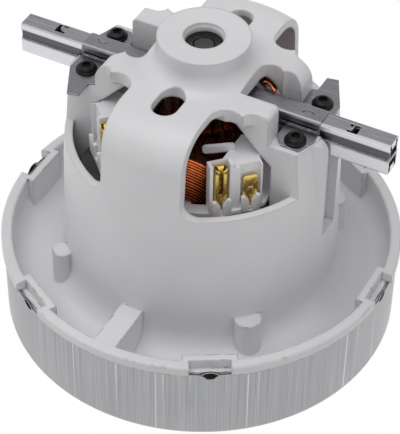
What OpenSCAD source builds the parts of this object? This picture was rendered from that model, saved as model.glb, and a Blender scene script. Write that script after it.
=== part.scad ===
/* [Housing] */
// Outer radius of the rim lip of the plastic housing
rim_r = 67.6; // [66.4:0.2:70]
// Height of the top face of the rim above the base
rim_top = 32.4; // [31.5:0.1:36]
// Height of the lip that sits over the edge of the metal shroud
lip_h = 3.4; // [2.6:0.1:4.4]
// Thickness of the rim wall inside the shroud
rim_wall = 1.9; // [1.6:0.1:2.6]
// Height of the tray floor above the base
tray_z = 19; // [18.4:0.1:20.5]
// Thickness of the tray floor
tray_t = 2.4; // [2:0.1:2.8]
// Radius of the hollow between the tray floor and the rim
tray_fillet = 7; // [4:0.5:9]
// Outer radius of the motor tower at its foot
tower_foot_r = 46.3; // [45.8:0.1:47.2]
// Outer radius of the motor tower at two thirds of its height
tower_mid_r = 45.3; // [44.9:0.1:45.9]
// Outer radius of the motor tower below the shoulder
tower_top_r = 43.4; // [42.9:0.1:44.2]
// Wall thickness of the motor tower
tower_wall = 2.6; // [2.2:0.1:2.8]
// Radius of the hollow at the foot of the tower
foot_fillet = 8; // [5:0.5:9]
// Height of the flat shoulder of the tower
shoulder_z = 101.5; // [101:0.1:102.4]
// Radius of the rounded edge of the shoulder
shoulder_round = 12; // [9:0.5:13]
// Outer radius of the bearing boss on top
boss_r = 14.9; // [14:0.05:15.4]
// Height of the top face of the bearing boss
boss_top = 111.5; // [111:0.1:113]
// Radius of the hollow at the foot of the boss
boss_fillet = 5.75; // [3:0.25:7]
// Thickness of the boss wall over the bearing
boss_lip = 3; // [2:0.1:3.6]
// Radius of the hole in the top of the boss
boss_hole_r = 6.6; // [6:0.1:7.6]

/* [Windows] */
// Distance from the centre plane to the near side of a window
window_x = 14; // [13.4:0.1:14.8]
// Height of the lower edge of a window
window_z = 73.7; // [72.5:0.1:76]
// Corner radius at the lower edge of a window
window_corner = 5; // [3:0.5:7]
// Radius of the arch where a window cuts into the shoulder
arch_r = 5.5; // [5.2:0.1:5.8]
// Half width of the arms that carry the brush holders
arm_half_w = 16; // [15.6:0.1:16.6]
// Distance from the axis to the outer end of an arm
arm_end_x = 30.5; // [30:0.1:31]
// Half width of the trough over a brush holder
trough_half_w = 8.8; // [8:0.1:9.2]
// Distance from the axis to the inner end of the trough
trough_x = 17.3; // [16.8:0.1:18.4]
// Width of the oblong holes in the shoulder
oblong_w = 8.4; // [6:0.2:9.4]
// Length of the oblong holes in the shoulder
oblong_l = 13; // [9.6:0.2:13.6]

/* [Brush gear] */
// Distance from the axis to the outer tip of a brush holder
holder_tip = 65.5; // [60:0.5:67]
// Distance from the axis to the inner end of a brush holder
holder_inner = 16; // [15:0.25:16.5]
// Width of a brush holder tube
holder_w = 6.8; // [6.4:0.1:7]
// Height of a brush holder tube
holder_h = 11.5; // [11:0.1:11.8]
// Height of the top face of a brush holder tube
holder_top = 95; // [94.6:0.1:95.4]
// Sheet thickness of a brush holder tube
holder_t = 0.5; // [0.4:0.05:0.6]
// Depth of the groove along each side of the tube
groove_d = 0.55; // [0.4:0.05:0.7]
// Distance from the axis to the outer edge of the clip
clip_end = 42.3; // [42:0.1:44]
// Sheet thickness of the clip
clip_t = 0.4; // [0.3:0.05:0.5]
// Thickness of the screw plates of the clip
plate_t = 0.55; // [0.4:0.05:0.8]
// Height of the top face of the screw plates
plate_z = 91.3; // [91:0.1:91.6]
// Distance of the clip screws from the axis along the holder
screw_x = 37; // [36.6:0.1:37.4]
// Distance of the clip screws to the side of the holder
screw_y = 10; // [9.8:0.1:10.3]
// Head radius of the clip screws
screw_head_r = 3.5; // [3.1:0.1:3.6]
// Shank radius of the clip screws
screw_shank_r = 1.5; // [1.2:0.1:1.8]
// Length of a carbon brush
carbon_l = 34; // [28:0.5:36]
// Wire radius of a brush spring
spring_wire_r = 0.3; // [0.2:0.05:0.3]
// Mean radius of a brush spring
spring_r = 1.8; // [1.4:0.1:1.9]
// Turns of a brush spring
spring_turns = 10; // [6:1:10]
// Travel of a carbon brush towards the tip of its holder
brush_travel = 9; // [6:0.5:9]

/* [Shroud and fan] */
// Step from the rim lip in to the metal shroud
shroud_step = 0.8; // [0.4:0.1:1.6]
// Sheet thickness of the metal shroud
shroud_t = 0.9; // [0.7:0.05:1]
// Radius of the rounded lower edge of the shroud
shroud_round = 3; // [1.5:0.25:4]
// Radius of the air inlet in the shroud
inlet_r = 19; // [17:0.25:21]
// Height of the inlet collar above the base
collar_h = 3.8; // [3.4:0.1:3.9]
// Outer radius of the fan
fan_r = 53.5; // [50:0.5:54]
// Number of fan blades
fan_blades_n = 9; // [7:1:11]
// Height of the top face of the fan's back disc
fan_back_z = 10.6; // [10.4:0.05:10.8]
// Sheet thickness of the fan's discs and blades
fan_t = 0.8; // [0.6:0.05:0.9]
// Thickness of the diffuser plate
diffuser_t = 1.6; // [1.2:0.1:1.8]
// Height of the lower face of the diffuser plate
diffuser_z = 11.6; // [11.4:0.05:11.8]
// Radius of the diffuser plate
diffuser_r = 58; // [56:0.5:59]
// Number of guide vanes around the fan
vane_n = 13; // [9:1:15]
// Number of return vanes above the diffuser plate
return_n = 8; // [6:1:10]

/* [Stator] */
// Height of the lower face of the stator stack
stack_z = 34; // [33:0.5:35]
// Length of the stator stack
stack_h = 34; // [33:0.5:34.5]
// Outer radius of the stator stack over the poles
stack_r = 40.2; // [39.4:0.1:40.6]
// Half width of the stator stack across its flats
stack_flat = 31.5; // [30.5:0.1:31.8]
// Radius of the stator bore
stator_bore_r = 20.45; // [20.3:0.05:20.7]
// Number of wire turns modelled on each field coil
coil_turns = 9; // [6:1:10]
// Radius of the wire of a field coil
coil_wire_r = 0.36; // [0.3:0.02:0.38]

/* [Rotor] */
// Radius of the armature core
armature_r = 20; // [19.6:0.05:20.1]
// Number of armature slots and commutator bars
slots_n = 22; // [18:2:24]
// Radius of the commutator
commutator_r = 12.5; // [12:0.1:12.8]
// Height of the lower end of the commutator
commutator_z = 81.5; // [81.2:0.1:82]
// Height of the upper end of the commutator
commutator_top = 96.4; // [95.8:0.1:97]
// Radius of the shaft at the lower bearing and through the core
shaft_r = 4; // [3.8:0.05:4.2]
// Radius of the shaft at the upper bearing
shaft_top_r = 3.5; // [3.3:0.05:3.7]

/* [Bearings] */
// Outer radius of the lower bearing
low_bearing_r = 11; // [10.6:0.1:11.2]
// Width of the lower bearing
low_bearing_w = 7; // [6.4:0.1:7.2]
// Outer radius of the upper bearing
top_bearing_r = 9.5; // [9.2:0.1:9.7]
// Width of the upper bearing
top_bearing_w = 6; // [5.6:0.1:6.2]
// Number of balls in each bearing
balls_n = 7; // [6:1:7]

/* [Hidden] */
$fn = 96;
sides = [1, -1];
// clearances between pieces
slip = 0.15;
seat_gap = 0.2;
face_gap = 0.1;
cut = 1;
far = 200;

// housing values worked out from the driving sizes
shroud_r = rim_r - shroud_step;
rim_inner_r = shroud_r - shroud_t - slip - rim_wall;
skirt_r = shroud_r - shroud_t - slip;
lip_z = rim_top - lip_h;
tray_under = tray_z - tray_t;
foot_top = tray_z + foot_fillet;
round_z = shoulder_z - shoulder_round;
mid_z = tray_z + (round_z - tray_z) * 0.66;
boss_seat_top = boss_top - boss_lip;
damper_t = 1;
boss_seat_r = top_bearing_r + damper_t + slip;
notch_n = 6;
notch_w = 13.4;
notch_r = rim_inner_r - 0.2;
notch_wall = 2.6;
post_r = 4.5;
post_dist = 47.2;
post_angle = 44;
post_bore_r = screw_shank_r;
arch_y = arm_half_w + 1.7 + arch_r;
arm_start_x = 12.5;
arm_depth = 4.5;
arm_end_round = 7.5;
arm_end_edge = 1.6;
arm_slope_x = 18;
arch_overlap = 2;
rim_round = 0.7;
oblong_y = 23.4;
bridge_w = 7.8;
scallop_r = 3.7;
recess_r = 3.6;
recess_x = window_x + 2 * arch_r + recess_r - arch_overlap;
column_x = stack_flat + slip * 3;
column_foot = stack_z - 2;
platform_z = plate_z - plate_t - 0.03;
pilaster_x = 46;
pilaster_half = 10;
pilaster_round = 6.4;
pilaster_in = tower_top_r - 7;
pilaster_edge = 5;
groove_floor = 43;
groove_top = holder_top - holder_h + 0.4;
groove_foot = 50.5;
channel_half = holder_w / 2 + clip_t + 0.3;
channel_z = holder_top - holder_h - 0.05;
pocket_wall = 2.5;
rib_half_w = 2;
rib_x = 12;

// brush gear values
groove_top_z = holder_top - 2.4;
groove_low_z = holder_top - 6;
tube_in_w = holder_w - 2 * holder_t;
tube_in_h = holder_h - 2 * holder_t;
carbon_gap = 0.12;
carbon_w = tube_in_w - 2 * carbon_gap;
carbon_h = tube_in_h - 2 * carbon_gap;
carbon_z = holder_top - holder_h / 2;
carbon_tip = commutator_r + face_gap;
carbon_back = carbon_tip + carbon_l;
spring_end = holder_tip - 1;
clip_gap = 0.03;
clip_w = holder_w + 2 * clip_gap + 2 * clip_t;
clip_top = holder_top + clip_gap + clip_t;
end_tab = 0.6;
groove_mid = (groove_top_z + groove_low_z) / 2;
groove_span = groove_top_z - groove_low_z;
screw_head_h = 2;
screw_l = 15;

// stack, coils and rotor
stack_top = stack_z + stack_h;
coil_r = 30.6;
core_in_r = stator_bore_r + 2;
core_out_r = coil_r - coil_wire_r - 0.75;
slot_in_r = stator_bore_r + 1.45;
slot_out_r = coil_r + coil_wire_r + 0.5;
pole_angle = 21;
slot_angle = 59;
core_pole_angle = pole_angle + 1;
core_slot_angle = slot_angle - 1.5;
coil_lift = 3.5;
coil_angle_in = 33.6;
coil_angle_out = 57;
coil_top_in = stack_top + coil_lift;
coil_top_out = 89.3;
coil_foot_in = stack_z - coil_lift;
coil_foot_out = 19.4;
coil_mid = stack_z + stack_h / 2;
coil_rings = 24;
wire_sides = 6;
insulator_t = 1.5;
insulator_z = stack_top + 0.1;
block_top = 86;
block_face = 35;
block_tilt = 45.5;
block_inner_x = 18.5;
block_inner_y = 9.5;
block_clear = coil_r + coil_wire_r + 0.35;
block_slab = 2;
arm_step_x = 28.2;
gap_r = 0.3;
block_half = 8.6;
tongue_x = 11.8;
tongue_y = -23.2;
tongue_w = 10.4;
tongue_h = 2.8;
tongue_t = 1.2;
tongue_angle = 36;
contact_t = -4.75;
contact_foot = insulator_z + insulator_t + 4.4;
contact_h = 13;
contact_w = 4.8;
contact_d = 2.9;
tab_t = 4.7;
tab_w = 4.8;
tab_h = 10.5;
tab_thick = 0.8;
tab_foot = insulator_z + insulator_t + 1.9;
core_arch_r = 22.6;
core_slot_r = 14.2;
core_slot_d = 2.8;
head_r = 18;
riser_h = 1.8;
bar_gap = 0.55;
hub_r = 8;

// bearings and shaft
low_bearing_z = 14;
top_bearing_z = boss_seat_top - seat_gap - top_bearing_w;
shaft_step_z = top_bearing_z - 3;
shaft_end = collar_h + 0.2;
shaft_top = top_bearing_z + top_bearing_w;
seal_inset = 0.2;
seal_t = 0.4;
ball_gap = 0.05;
shaft_fit = 0.02;
cup_wall = 2.4;
cup_top = low_bearing_z + low_bearing_w;
cup_r = low_bearing_r + cup_wall;
spacer_r = 6.4;
guide_foot = 2;
guide_top = tray_under - face_gap;
guide_centre = 45;
guide_bend = 24;
return_in_r = 25;
return_centre = 40;
return_bend = 42;
vane_t = 1.4;
blade_centre = 26;
blade_bend = 30;
screw_ring_r = post_dist + 0.6;
small_head_r = 2.8;
small_head_h = 1.6;
small_screw_l = 13;
crimp_drop = 1.5;
crimp_w = 3.6;
crimp_h = 1.2;
nut_af = 13;
nut_h = 4;
washer_t = 1;
washer_r = 9;
fan_front_z = 2.5;
fan_front_out_z = 5.2;
eye_r = inlet_r + 1.2;

function pt(r, a) = [r * cos(a), r * sin(a)];
function mix(a, b, t) = a + (b - a) * t;
function signed_pow(v, p) = sign(v) * pow(abs(v), p);

module tube(r_out, r_in, h) {
    difference() {
        cylinder(r = r_out, h = h);
        translate([0, 0, -cut]) cylinder(r = r_in, h = h + 2 * cut);
    }
}

// rectangle with true round corners, centred
module round_rect(w, h, r) {
    square([w - 2 * r, h], center = true);
    square([w, h - 2 * r], center = true);
    for (sx = sides, sy = sides)
        translate([sx * (w / 2 - r), sy * (h / 2 - r)]) circle(r = r);
}

// sector of the plane between two angles, under 180 degrees apart
module oblong(w, l) {
    square([w, l - w], center = true);
    for (s = sides) translate([0, s * (l - w) / 2]) circle(r = w / 2);
}

module sector(r, a0, a1) {
    am = (a0 + a1) / 2;
    far_r = r / cos((a1 - a0) / 4) * 1.02;
    polygon([
        [0, 0], pt(far_r, a0), pt(far_r, (a0 + am) / 2), pt(far_r, am),
        pt(far_r, (am + a1) / 2), pt(far_r, a1)
    ]);
}

module ring_sector(r_out, r_in, a0, a1) {
    intersection() {
        difference() {
            circle(r = r_out);
            circle(r = r_in);
        }
        sector(r_out + 3, a0, a1);
    }
}

// extrusions that stand on the YZ plane and the XZ plane
module along_x(x0, x1) {
    translate([x0, 0, 0]) rotate([90, 0, 90]) linear_extrude(height = x1 - x0) children();
}

module along_y(y0, y1) {
    translate([0, y1, 0]) rotate([90, 0, 0]) linear_extrude(height = y1 - y0) children();
}

// curved vane: a band of an arc between two radii
module vane_outline(r_in, r_out, centre, bend, t) {
    intersection() {
        translate([centre, 0]) difference() {
            circle(r = bend + t / 2);
            circle(r = bend - t / 2);
        }
        difference() {
            circle(r = r_out);
            circle(r = r_in);
        }
        translate([-far, 0]) square([2 * far, far]);
    }
}

// tube of six-sided rings along a list of points, closed at both ends
module wire(points, r, sides_n) {
    n = len(points);
    dirs = [for (i = [0:n - 1]) let (d = points[min(i + 1, n - 1)] - points[max(i - 1, 0)]) d / norm(d)];
    ups = [for (i = [0:n - 1]) let (q = wire_up(points[i]), c = q - (q * dirs[i]) * dirs[i]) c / norm(c)];
    rings = [for (i = [0:n - 1], k = [0:sides_n - 1])
        let (a = 360 * k / sides_n, s = cross(dirs[i], ups[i]))
        points[i] + r * (cos(a) * ups[i] + sin(a) * s)];
    sides_f = [for (i = [0:n - 2], k = [0:sides_n - 1])
        let (m = (k + 1) % sides_n, a = i * sides_n, b = (i + 1) * sides_n)
        each [[a + k, a + m, b + k], [a + m, b + m, b + k]]];
    start_f = [for (k = [1:sides_n - 2]) [0, k + 1, k]];
    last = (n - 1) * sides_n;
    end_f = [for (k = [1:sides_n - 2]) [last, last + k, last + k + 1]];
    polyhedron(points = rings, faces = concat(sides_f, start_f, end_f));
}

// direction that keeps the rings of a wire from twisting: away from the motor axis
function wire_up(p) = [p[0], p[1], 0] / norm([p[0], p[1], 0.001]);

// motor housing

module tower_section(inset, foot) {
    polygon([
        [0, foot], [tower_foot_r - inset, foot], [tower_foot_r - inset, foot_top],
        [tower_mid_r - inset, mid_z], [tower_top_r - inset, round_z], [0, round_z]
    ]);
    translate([tower_top_r - shoulder_round, round_z]) circle(r = shoulder_round - inset);
    translate([0, round_z - cut]) square([tower_top_r - shoulder_round, shoulder_round - inset + cut]);
}

module housing_section() {
    difference() {
        union() {
            tower_section(0, tray_under);
            square([boss_r, boss_top]);
            translate([boss_r - cut, shoulder_z - cut])
                square([boss_fillet + cut, boss_fillet + cut]);
        }
        translate([boss_r + boss_fillet, shoulder_z + boss_fillet]) circle(r = boss_fillet);
        tower_section(tower_wall, tray_under - cut);
        translate([0, -cut]) square([boss_seat_r, boss_seat_top + cut]);
        translate([0, boss_top - far / 2]) square([boss_hole_r - 0.5, far]);
        translate([0, boss_top - 1.2]) square([boss_hole_r, far]);
    }
    translate([tower_foot_r - tower_wall, tray_under])
        square([skirt_r - tower_foot_r + tower_wall, tray_t]);
    translate([rim_inner_r, tray_under]) square([rim_wall, lip_z + cut - tray_under]);
    translate([rim_inner_r, lip_z]) square([rim_r - rim_inner_r, lip_h - rim_round]);
    translate([rim_inner_r + rim_round, lip_z]) square([rim_r - rim_inner_r - 2 * rim_round, lip_h]);
    for (r = [rim_inner_r + rim_round, rim_r - rim_round])
        translate([r, rim_top - rim_round]) circle(r = rim_round);
    difference() {
        translate([tower_foot_r - cut, tray_z - cut]) square([foot_fillet + cut, foot_fillet + cut]);
        translate([tower_foot_r + foot_fillet, tray_z + foot_fillet]) circle(r = foot_fillet);
    }
    difference() {
        translate([rim_inner_r - tray_fillet, tray_z - cut])
            square([tray_fillet + cut / 2, tray_fillet + cut]);
        translate([rim_inner_r - tray_fillet, tray_z + tray_fillet]) circle(r = tray_fillet);
    }
}

// side view of an arm with its screw column: the slanted edge is seen through the window
module arm_side() {
    polygon([
        [arm_start_x, shoulder_z - 2], [arm_slope_x, shoulder_z - arm_depth],
        [column_x - 2.4, holder_top - holder_h + 1.4], [column_x, holder_top - holder_h - 0.5],
        [column_x, column_foot], [groove_floor - 1, column_foot], [groove_floor - 1, platform_z],
        [arm_end_x, platform_z], [arm_end_x, shoulder_z + cut], [arm_start_x, shoulder_z + cut]
    ]);
}

module arms() {
    intersection() {
        for (s = sides) mirror([s < 0 ? 1 : 0, 0, 0]) {
            along_y(-arm_half_w, arm_half_w) arm_side();
            translate([arm_start_x, -arm_half_w - 2.4, shoulder_z - arm_depth])
                cube([arm_end_x - arm_start_x, 2 * arm_half_w + 4.8, arm_depth]);
        }
        rotate_extrude() tower_section(tower_wall / 2, tray_under);
    }
}

module pilasters() {
    for (s = sides) mirror([s < 0 ? 1 : 0, 0, 0]) intersection() {
        translate([0, 0, tray_under]) linear_extrude(height = platform_z - tray_under)
            translate([pilaster_x / 2, 0]) round_rect(pilaster_x, 2 * pilaster_half, pilaster_round);
        along_y(-far / 2, far / 2) {
            translate([pilaster_in, 0]) square([pilaster_x - pilaster_in, platform_z - pilaster_edge]);
            translate([pilaster_in, 0]) square([pilaster_x - pilaster_in - pilaster_edge, platform_z]);
            translate([pilaster_x - pilaster_edge, platform_z - pilaster_edge]) circle(r = pilaster_edge);
        }
    }
}

module window_plan() {
    translate([window_x, -far]) square([far, far - arch_y]);
    translate([window_x + arch_r, -arch_y]) circle(r = arch_r);
    translate([recess_x, -arm_half_w - recess_r]) circle(r = recess_r);
    translate([window_x + 2 * arch_r - arch_overlap + 0.4, -far])
        square([far, far - arm_half_w - recess_r]);
    translate([recess_x, -far]) square([far, far - arm_half_w]);
}

module window_cuts() {
    for (sx = sides, sy = sides) mirror([sx < 0 ? 1 : 0, 0, 0]) mirror([0, sy > 0 ? 1 : 0, 0])
        intersection() {
            translate([0, 0, window_z]) linear_extrude(height = far) window_plan();
            along_y(-far / 2, 0) {
                translate([window_x + window_corner, window_z]) square([far, far]);
                translate([window_x, window_z + window_corner]) square([far, far]);
                translate([window_x + window_corner, window_z + window_corner]) circle(r = window_corner);
            }
        }
}

module trough_plan() {
    depth = arm_end_x + 0.7 - trough_x;
    translate([trough_x, -trough_half_w]) square([depth, 2 * trough_half_w - scallop_r]);
    translate([trough_x + scallop_r, trough_half_w - scallop_r]) circle(r = scallop_r);
    translate([arm_end_x - scallop_r + 0.7, trough_half_w - scallop_r + 0.3]) circle(r = scallop_r);
}

module arm_end_rounding(y0, y1, r) {
    along_y(y0, y1) difference() {
        translate([arm_end_x - r, shoulder_z - r]) square([far, far]);
        translate([arm_end_x - r, shoulder_z - r]) circle(r = r);
    }
}

// beyond the arm's end the dome is open down to the platform; one cheek of each arm ends in a
// wide round and the other almost square
module arm_end_cuts() {
    for (a = [0, 180]) rotate([0, 0, a]) {
        along_y(-far / 2, far / 2) translate([arm_end_x, platform_z]) square([far, far]);
        arm_end_rounding(0, far / 2, arm_end_round);
        arm_end_rounding(-far / 2, 0, arm_end_edge);
    }
}

module trough_cuts() {
    for (a = [0, 180]) rotate([0, 0, a]) {
        translate([0, 0, channel_z]) linear_extrude(height = far) trough_plan();
        along_x(trough_x, far / 2) translate([-channel_half, channel_z]) square([2 * channel_half, far]);
        along_x(groove_floor, far / 2)
            translate([-channel_half, groove_foot]) square([2 * channel_half, groove_top - groove_foot]);
    }
}

module column_pockets() {
    for (sx = sides, sy = sides) mirror([sx < 0 ? 1 : 0, 0, 0]) mirror([0, sy < 0 ? 1 : 0, 0])
        translate([column_x + pocket_wall, channel_half + pocket_wall, tray_under - cut])
            cube([
                groove_floor - column_x - 2 * pocket_wall,
                arm_half_w - channel_half - 2 * pocket_wall,
                platform_z - 2 * pocket_wall - tray_under
            ]);
}

module screw_bosses() {
    for (sx = sides, sy = sides) translate([sx * screw_x, sy * screw_y, platform_z - 18])
        cylinder(r = screw_shank_r + 2, h = 17);
}

module posts() {
    // half-round posts on the right, round ones on the left, each over a diffuser screw
    for (sy = sides) {
        intersection() {
            rotate([0, 0, sy * post_angle]) translate([post_dist, 0, tray_under])
                cylinder(r = post_r, h = rim_top - tray_under);
            rotate([0, 0, sy * post_angle]) translate([post_dist - 2.2, -far / 2, 0])
                cube([far, far, rim_top]);
        }
        rotate([0, 0, 180 - sy * post_angle]) translate([post_dist + 1, 0, tray_under])
            cylinder(r = post_r - 1, h = rim_top - tray_under);
    }
    // bridge between the tower and the rim at the front and the back
    for (a = [-90, 90]) rotate([0, 0, a]) translate([tower_foot_r - 1, -bridge_w + 2.9, tray_under])
        cube([rim_inner_r - tower_foot_r + 1.5, bridge_w, rim_top - tray_under]);
}

module rim_notches() {
    for (i = [0:notch_n - 1]) rotate([0, 0, i * 360 / notch_n])
        translate([notch_r, -notch_w / 2, lip_z - 0.02]) cube([far, notch_w, far]);
}

module notch_walls() {
    for (i = [0:notch_n - 1]) rotate([0, 0, i * 360 / notch_n]) intersection() {
        translate([notch_r - notch_wall, -notch_w / 2 - 2.2, tray_under])
            cube([notch_wall + rim_wall, notch_w + 4.4, rim_top - tray_under]);
        cylinder(r = skirt_r - 0.3, h = far);
    }
}

module stator_ribs() {
    for (sx = sides, sy = sides) intersection() {
        translate([sx * rib_x - rib_half_w, sy > 0 ? stack_r / 2 : -far, stack_z - 2])
            cube([2 * rib_half_w, far - stack_r / 2, stack_h + 4]);
        rotate_extrude() difference() {
            tower_section(tower_wall / 2, tray_under);
            square([stack_r + slip, stack_top + 0.1]);
            square([stack_r - 2.5, far]);
        }
    }
}

module motor_housing() {
    color("whitesmoke") difference() {
        union() {
            difference() {
                union() {
                    rotate_extrude() housing_section();
                    arms();
                    pilasters();
                }
                // the stator and the rotor need this room inside the tower
                translate([0, 0, -cut]) cylinder(r = tower_foot_r - tower_wall, h = column_foot + cut);
                column_pockets();
            }
            screw_bosses();
            stator_ribs();
            notch_walls();
            posts();
        }
        window_cuts();
        trough_cuts();
        arm_end_cuts();
        rim_notches();
        for (sy = sides) translate([0, sy * oblong_y, shoulder_z])
            linear_extrude(height = 40, center = true) oblong(oblong_w, oblong_l);
        for (sx = sides, sy = sides) translate([sx * screw_x, sy * screw_y, platform_z - 16])
            cylinder(r = screw_shank_r + 0.05, h = 20);
        for (sy = sides, a = [post_angle, 180 - post_angle])
            rotate([0, 0, sy * a]) translate([post_dist + 0.6, 0, tray_under - cut])
                cylinder(r = post_bore_r + 0.05, h = 12);
    }
}

// shroud, diffuser and fan

module cup_outline(inset) {
    r = shroud_r - inset;
    edge = shroud_round - inset;
    translate([0, inset]) square([r - edge, lip_z]);
    translate([0, shroud_round]) square([r, lip_z]);
    translate([r - edge, shroud_round]) circle(r = edge);
}

module lens(w, h) {
    bend = (w * w + h * h) / 4 / h;
    intersection() {
        translate([0, bend - h / 2]) circle(r = bend);
        translate([0, h / 2 - bend]) circle(r = bend);
    }
}

module fan_shroud() {
    color("silver") difference() {
        rotate_extrude() {
            difference() {
                cup_outline(0);
                cup_outline(shroud_t);
                translate([0, -cut]) square([inlet_r, far]);
                translate([0, lip_z - face_gap]) square([far, far]);
            }
            translate([inlet_r, 0]) square([shroud_t, collar_h]);
        }
        for (i = [0:notch_n - 1]) rotate([0, 0, i * 360 / notch_n])
            translate([0, 0, lip_z - crimp_drop]) along_x(skirt_r - cut, far) lens(crimp_w, crimp_h);
    }
}

module post_places(r) {
    for (sy = sides, a = [post_angle, 180 - post_angle])
        rotate([0, 0, sy * a]) translate([r, 0, 0]) children();
}

module diffuser() {
    color("dimgray") difference() {
        union() {
            translate([0, 0, diffuser_z]) cylinder(r = diffuser_r, h = diffuser_t);
            translate([0, 0, diffuser_z]) cylinder(r = cup_r, h = cup_top - diffuser_z);
            translate([0, 0, guide_foot]) linear_extrude(height = guide_top - guide_foot)
                for (i = [0:vane_n - 1]) rotate([0, 0, i * 360 / vane_n])
                    vane_outline(fan_r + 1.5, skirt_r - 0.4, guide_centre, guide_bend, vane_t);
            translate([0, 0, diffuser_z + diffuser_t / 2])
                linear_extrude(height = guide_top - diffuser_z - diffuser_t / 2)
                    for (i = [0:return_n - 1]) rotate([0, 0, i * 360 / return_n])
                        vane_outline(return_in_r, diffuser_r - 1, return_centre, return_bend, vane_t);
            translate([0, 0, diffuser_z]) post_places(screw_ring_r)
                cylinder(r = post_r - 0.7, h = guide_top - diffuser_z);
        }
        translate([0, 0, low_bearing_z - 0.05]) cylinder(r = low_bearing_r + 0.03, h = far);
        translate([0, 0, -cut]) cylinder(r = spacer_r + 1.4, h = far);
        translate([0, 0, -cut]) post_places(screw_ring_r) cylinder(r = post_bore_r + 0.2, h = far);
        translate([0, 0, diffuser_z - cut]) post_places(screw_ring_r)
            cylinder(r = small_head_r + 0.3, h = small_head_h + 0.2 + cut);
    }
}

module diffuser_screws() {
    color("gray") post_places(screw_ring_r) {
        translate([0, 0, diffuser_z + 0.2 - face_gap]) difference() {
            cylinder(r = small_head_r, h = small_head_h);
            translate([0, 0, -cut]) cylinder(r = 1.2, h = 0.9 + cut, $fn = 6);
        }
        translate([0, 0, diffuser_z + small_head_h]) cylinder(r = post_bore_r, h = small_screw_l);
    }
}

module fan_back_disc() {
    color("silver") translate([0, 0, fan_back_z - fan_t]) tube(fan_r, shaft_r + shaft_fit, fan_t);
}

module front_disc_outline(lift) {
    polygon([
        [eye_r, fan_front_z + lift], [fan_r, fan_front_out_z + lift],
        [fan_r, fan_front_out_z + fan_t + lift], [eye_r, fan_front_z + fan_t + lift]
    ]);
}

module fan_front_disc() {
    color("silver") rotate_extrude() front_disc_outline(0);
}

module fan_blades() {
    color("lightgray") difference() {
        translate([0, 0, fan_front_z])
            linear_extrude(height = fan_back_z - fan_t - face_gap / 2 - fan_front_z)
            for (i = [0:fan_blades_n - 1]) rotate([0, 0, i * 360 / fan_blades_n])
                vane_outline(eye_r + 1, fan_r - 0.4, blade_centre, blade_bend, fan_t);
        rotate_extrude() polygon([
            [0, fan_front_z - cut], [0, fan_front_z + fan_t], [eye_r, fan_front_z + fan_t + face_gap / 2],
            [fan_r, fan_front_out_z + fan_t + face_gap / 2], [fan_r, fan_front_z - cut]
        ]);
    }
}

module fan_spacer() {
    color("gray") translate([0, 0, fan_back_z])
        tube(spacer_r, shaft_r + shaft_fit, low_bearing_z - fan_back_z);
}

module fan_washer() {
    color("gray") translate([0, 0, fan_back_z - fan_t - washer_t])
        tube(washer_r, shaft_r + shaft_fit, washer_t);
}

module fan_nut() {
    color("gray") translate([0, 0, fan_back_z - fan_t - washer_t - nut_h]) difference() {
        cylinder(r = nut_af / 2 / cos(30), h = nut_h, $fn = 6);
        translate([0, 0, -cut]) cylinder(r = shaft_r + shaft_fit, h = nut_h + 2 * cut);
    }
}

// stator

module slot_windows(grow) {
    for (a = [-90, 90], s = sides)
        ring_sector(
            slot_out_r + grow, slot_in_r - grow,
            a + (s > 0 ? pole_angle : -slot_angle) - grow,
            a + (s > 0 ? slot_angle : -pole_angle) + grow
        );
}

module stator_stack() {
    color("slategray") translate([0, 0, stack_z]) linear_extrude(height = stack_h) difference() {
        intersection() {
            circle(r = stack_r);
            square([2 * stack_flat, 3 * stack_r], center = true);
        }
        circle(r = stator_bore_r);
        slot_windows(0);
    }
}

// block that carries the contacts at each corner of the upper insulator
module block_outline() {
    front = [for (t = [block_half, -block_half]) [
        block_face * cos(block_tilt) + t * sin(block_tilt),
        -block_face * sin(block_tilt) + t * cos(block_tilt)
    ]];
    polygon([
        [block_inner_x, -block_inner_y], [arm_step_x, -block_inner_y], [arm_step_x, -arm_half_w - 0.6],
        front[0], front[1], [block_inner_x - 1.3, -28.2], [block_inner_x, -25.4]
    ]);
}

// children are drawn with X pointing out of the block's face and Y along it
module on_block(x, y) {
    mirror([x < 0 ? 1 : 0, 0, 0]) mirror([0, y > 0 ? 1 : 0, 0]) rotate([0, 0, -block_tilt]) children();
}

// rounded tongue beside each block that keeps the coil's shoulder away from the armature
module coil_tongue() {
    translate([tongue_x, tongue_y, block_top - 0.6]) rotate([0, 0, tongue_angle]) along_y(0, tongue_t)
        translate([tongue_w / 2, tongue_h / 2]) round_rect(tongue_w, tongue_h, 1.3);
}

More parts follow.
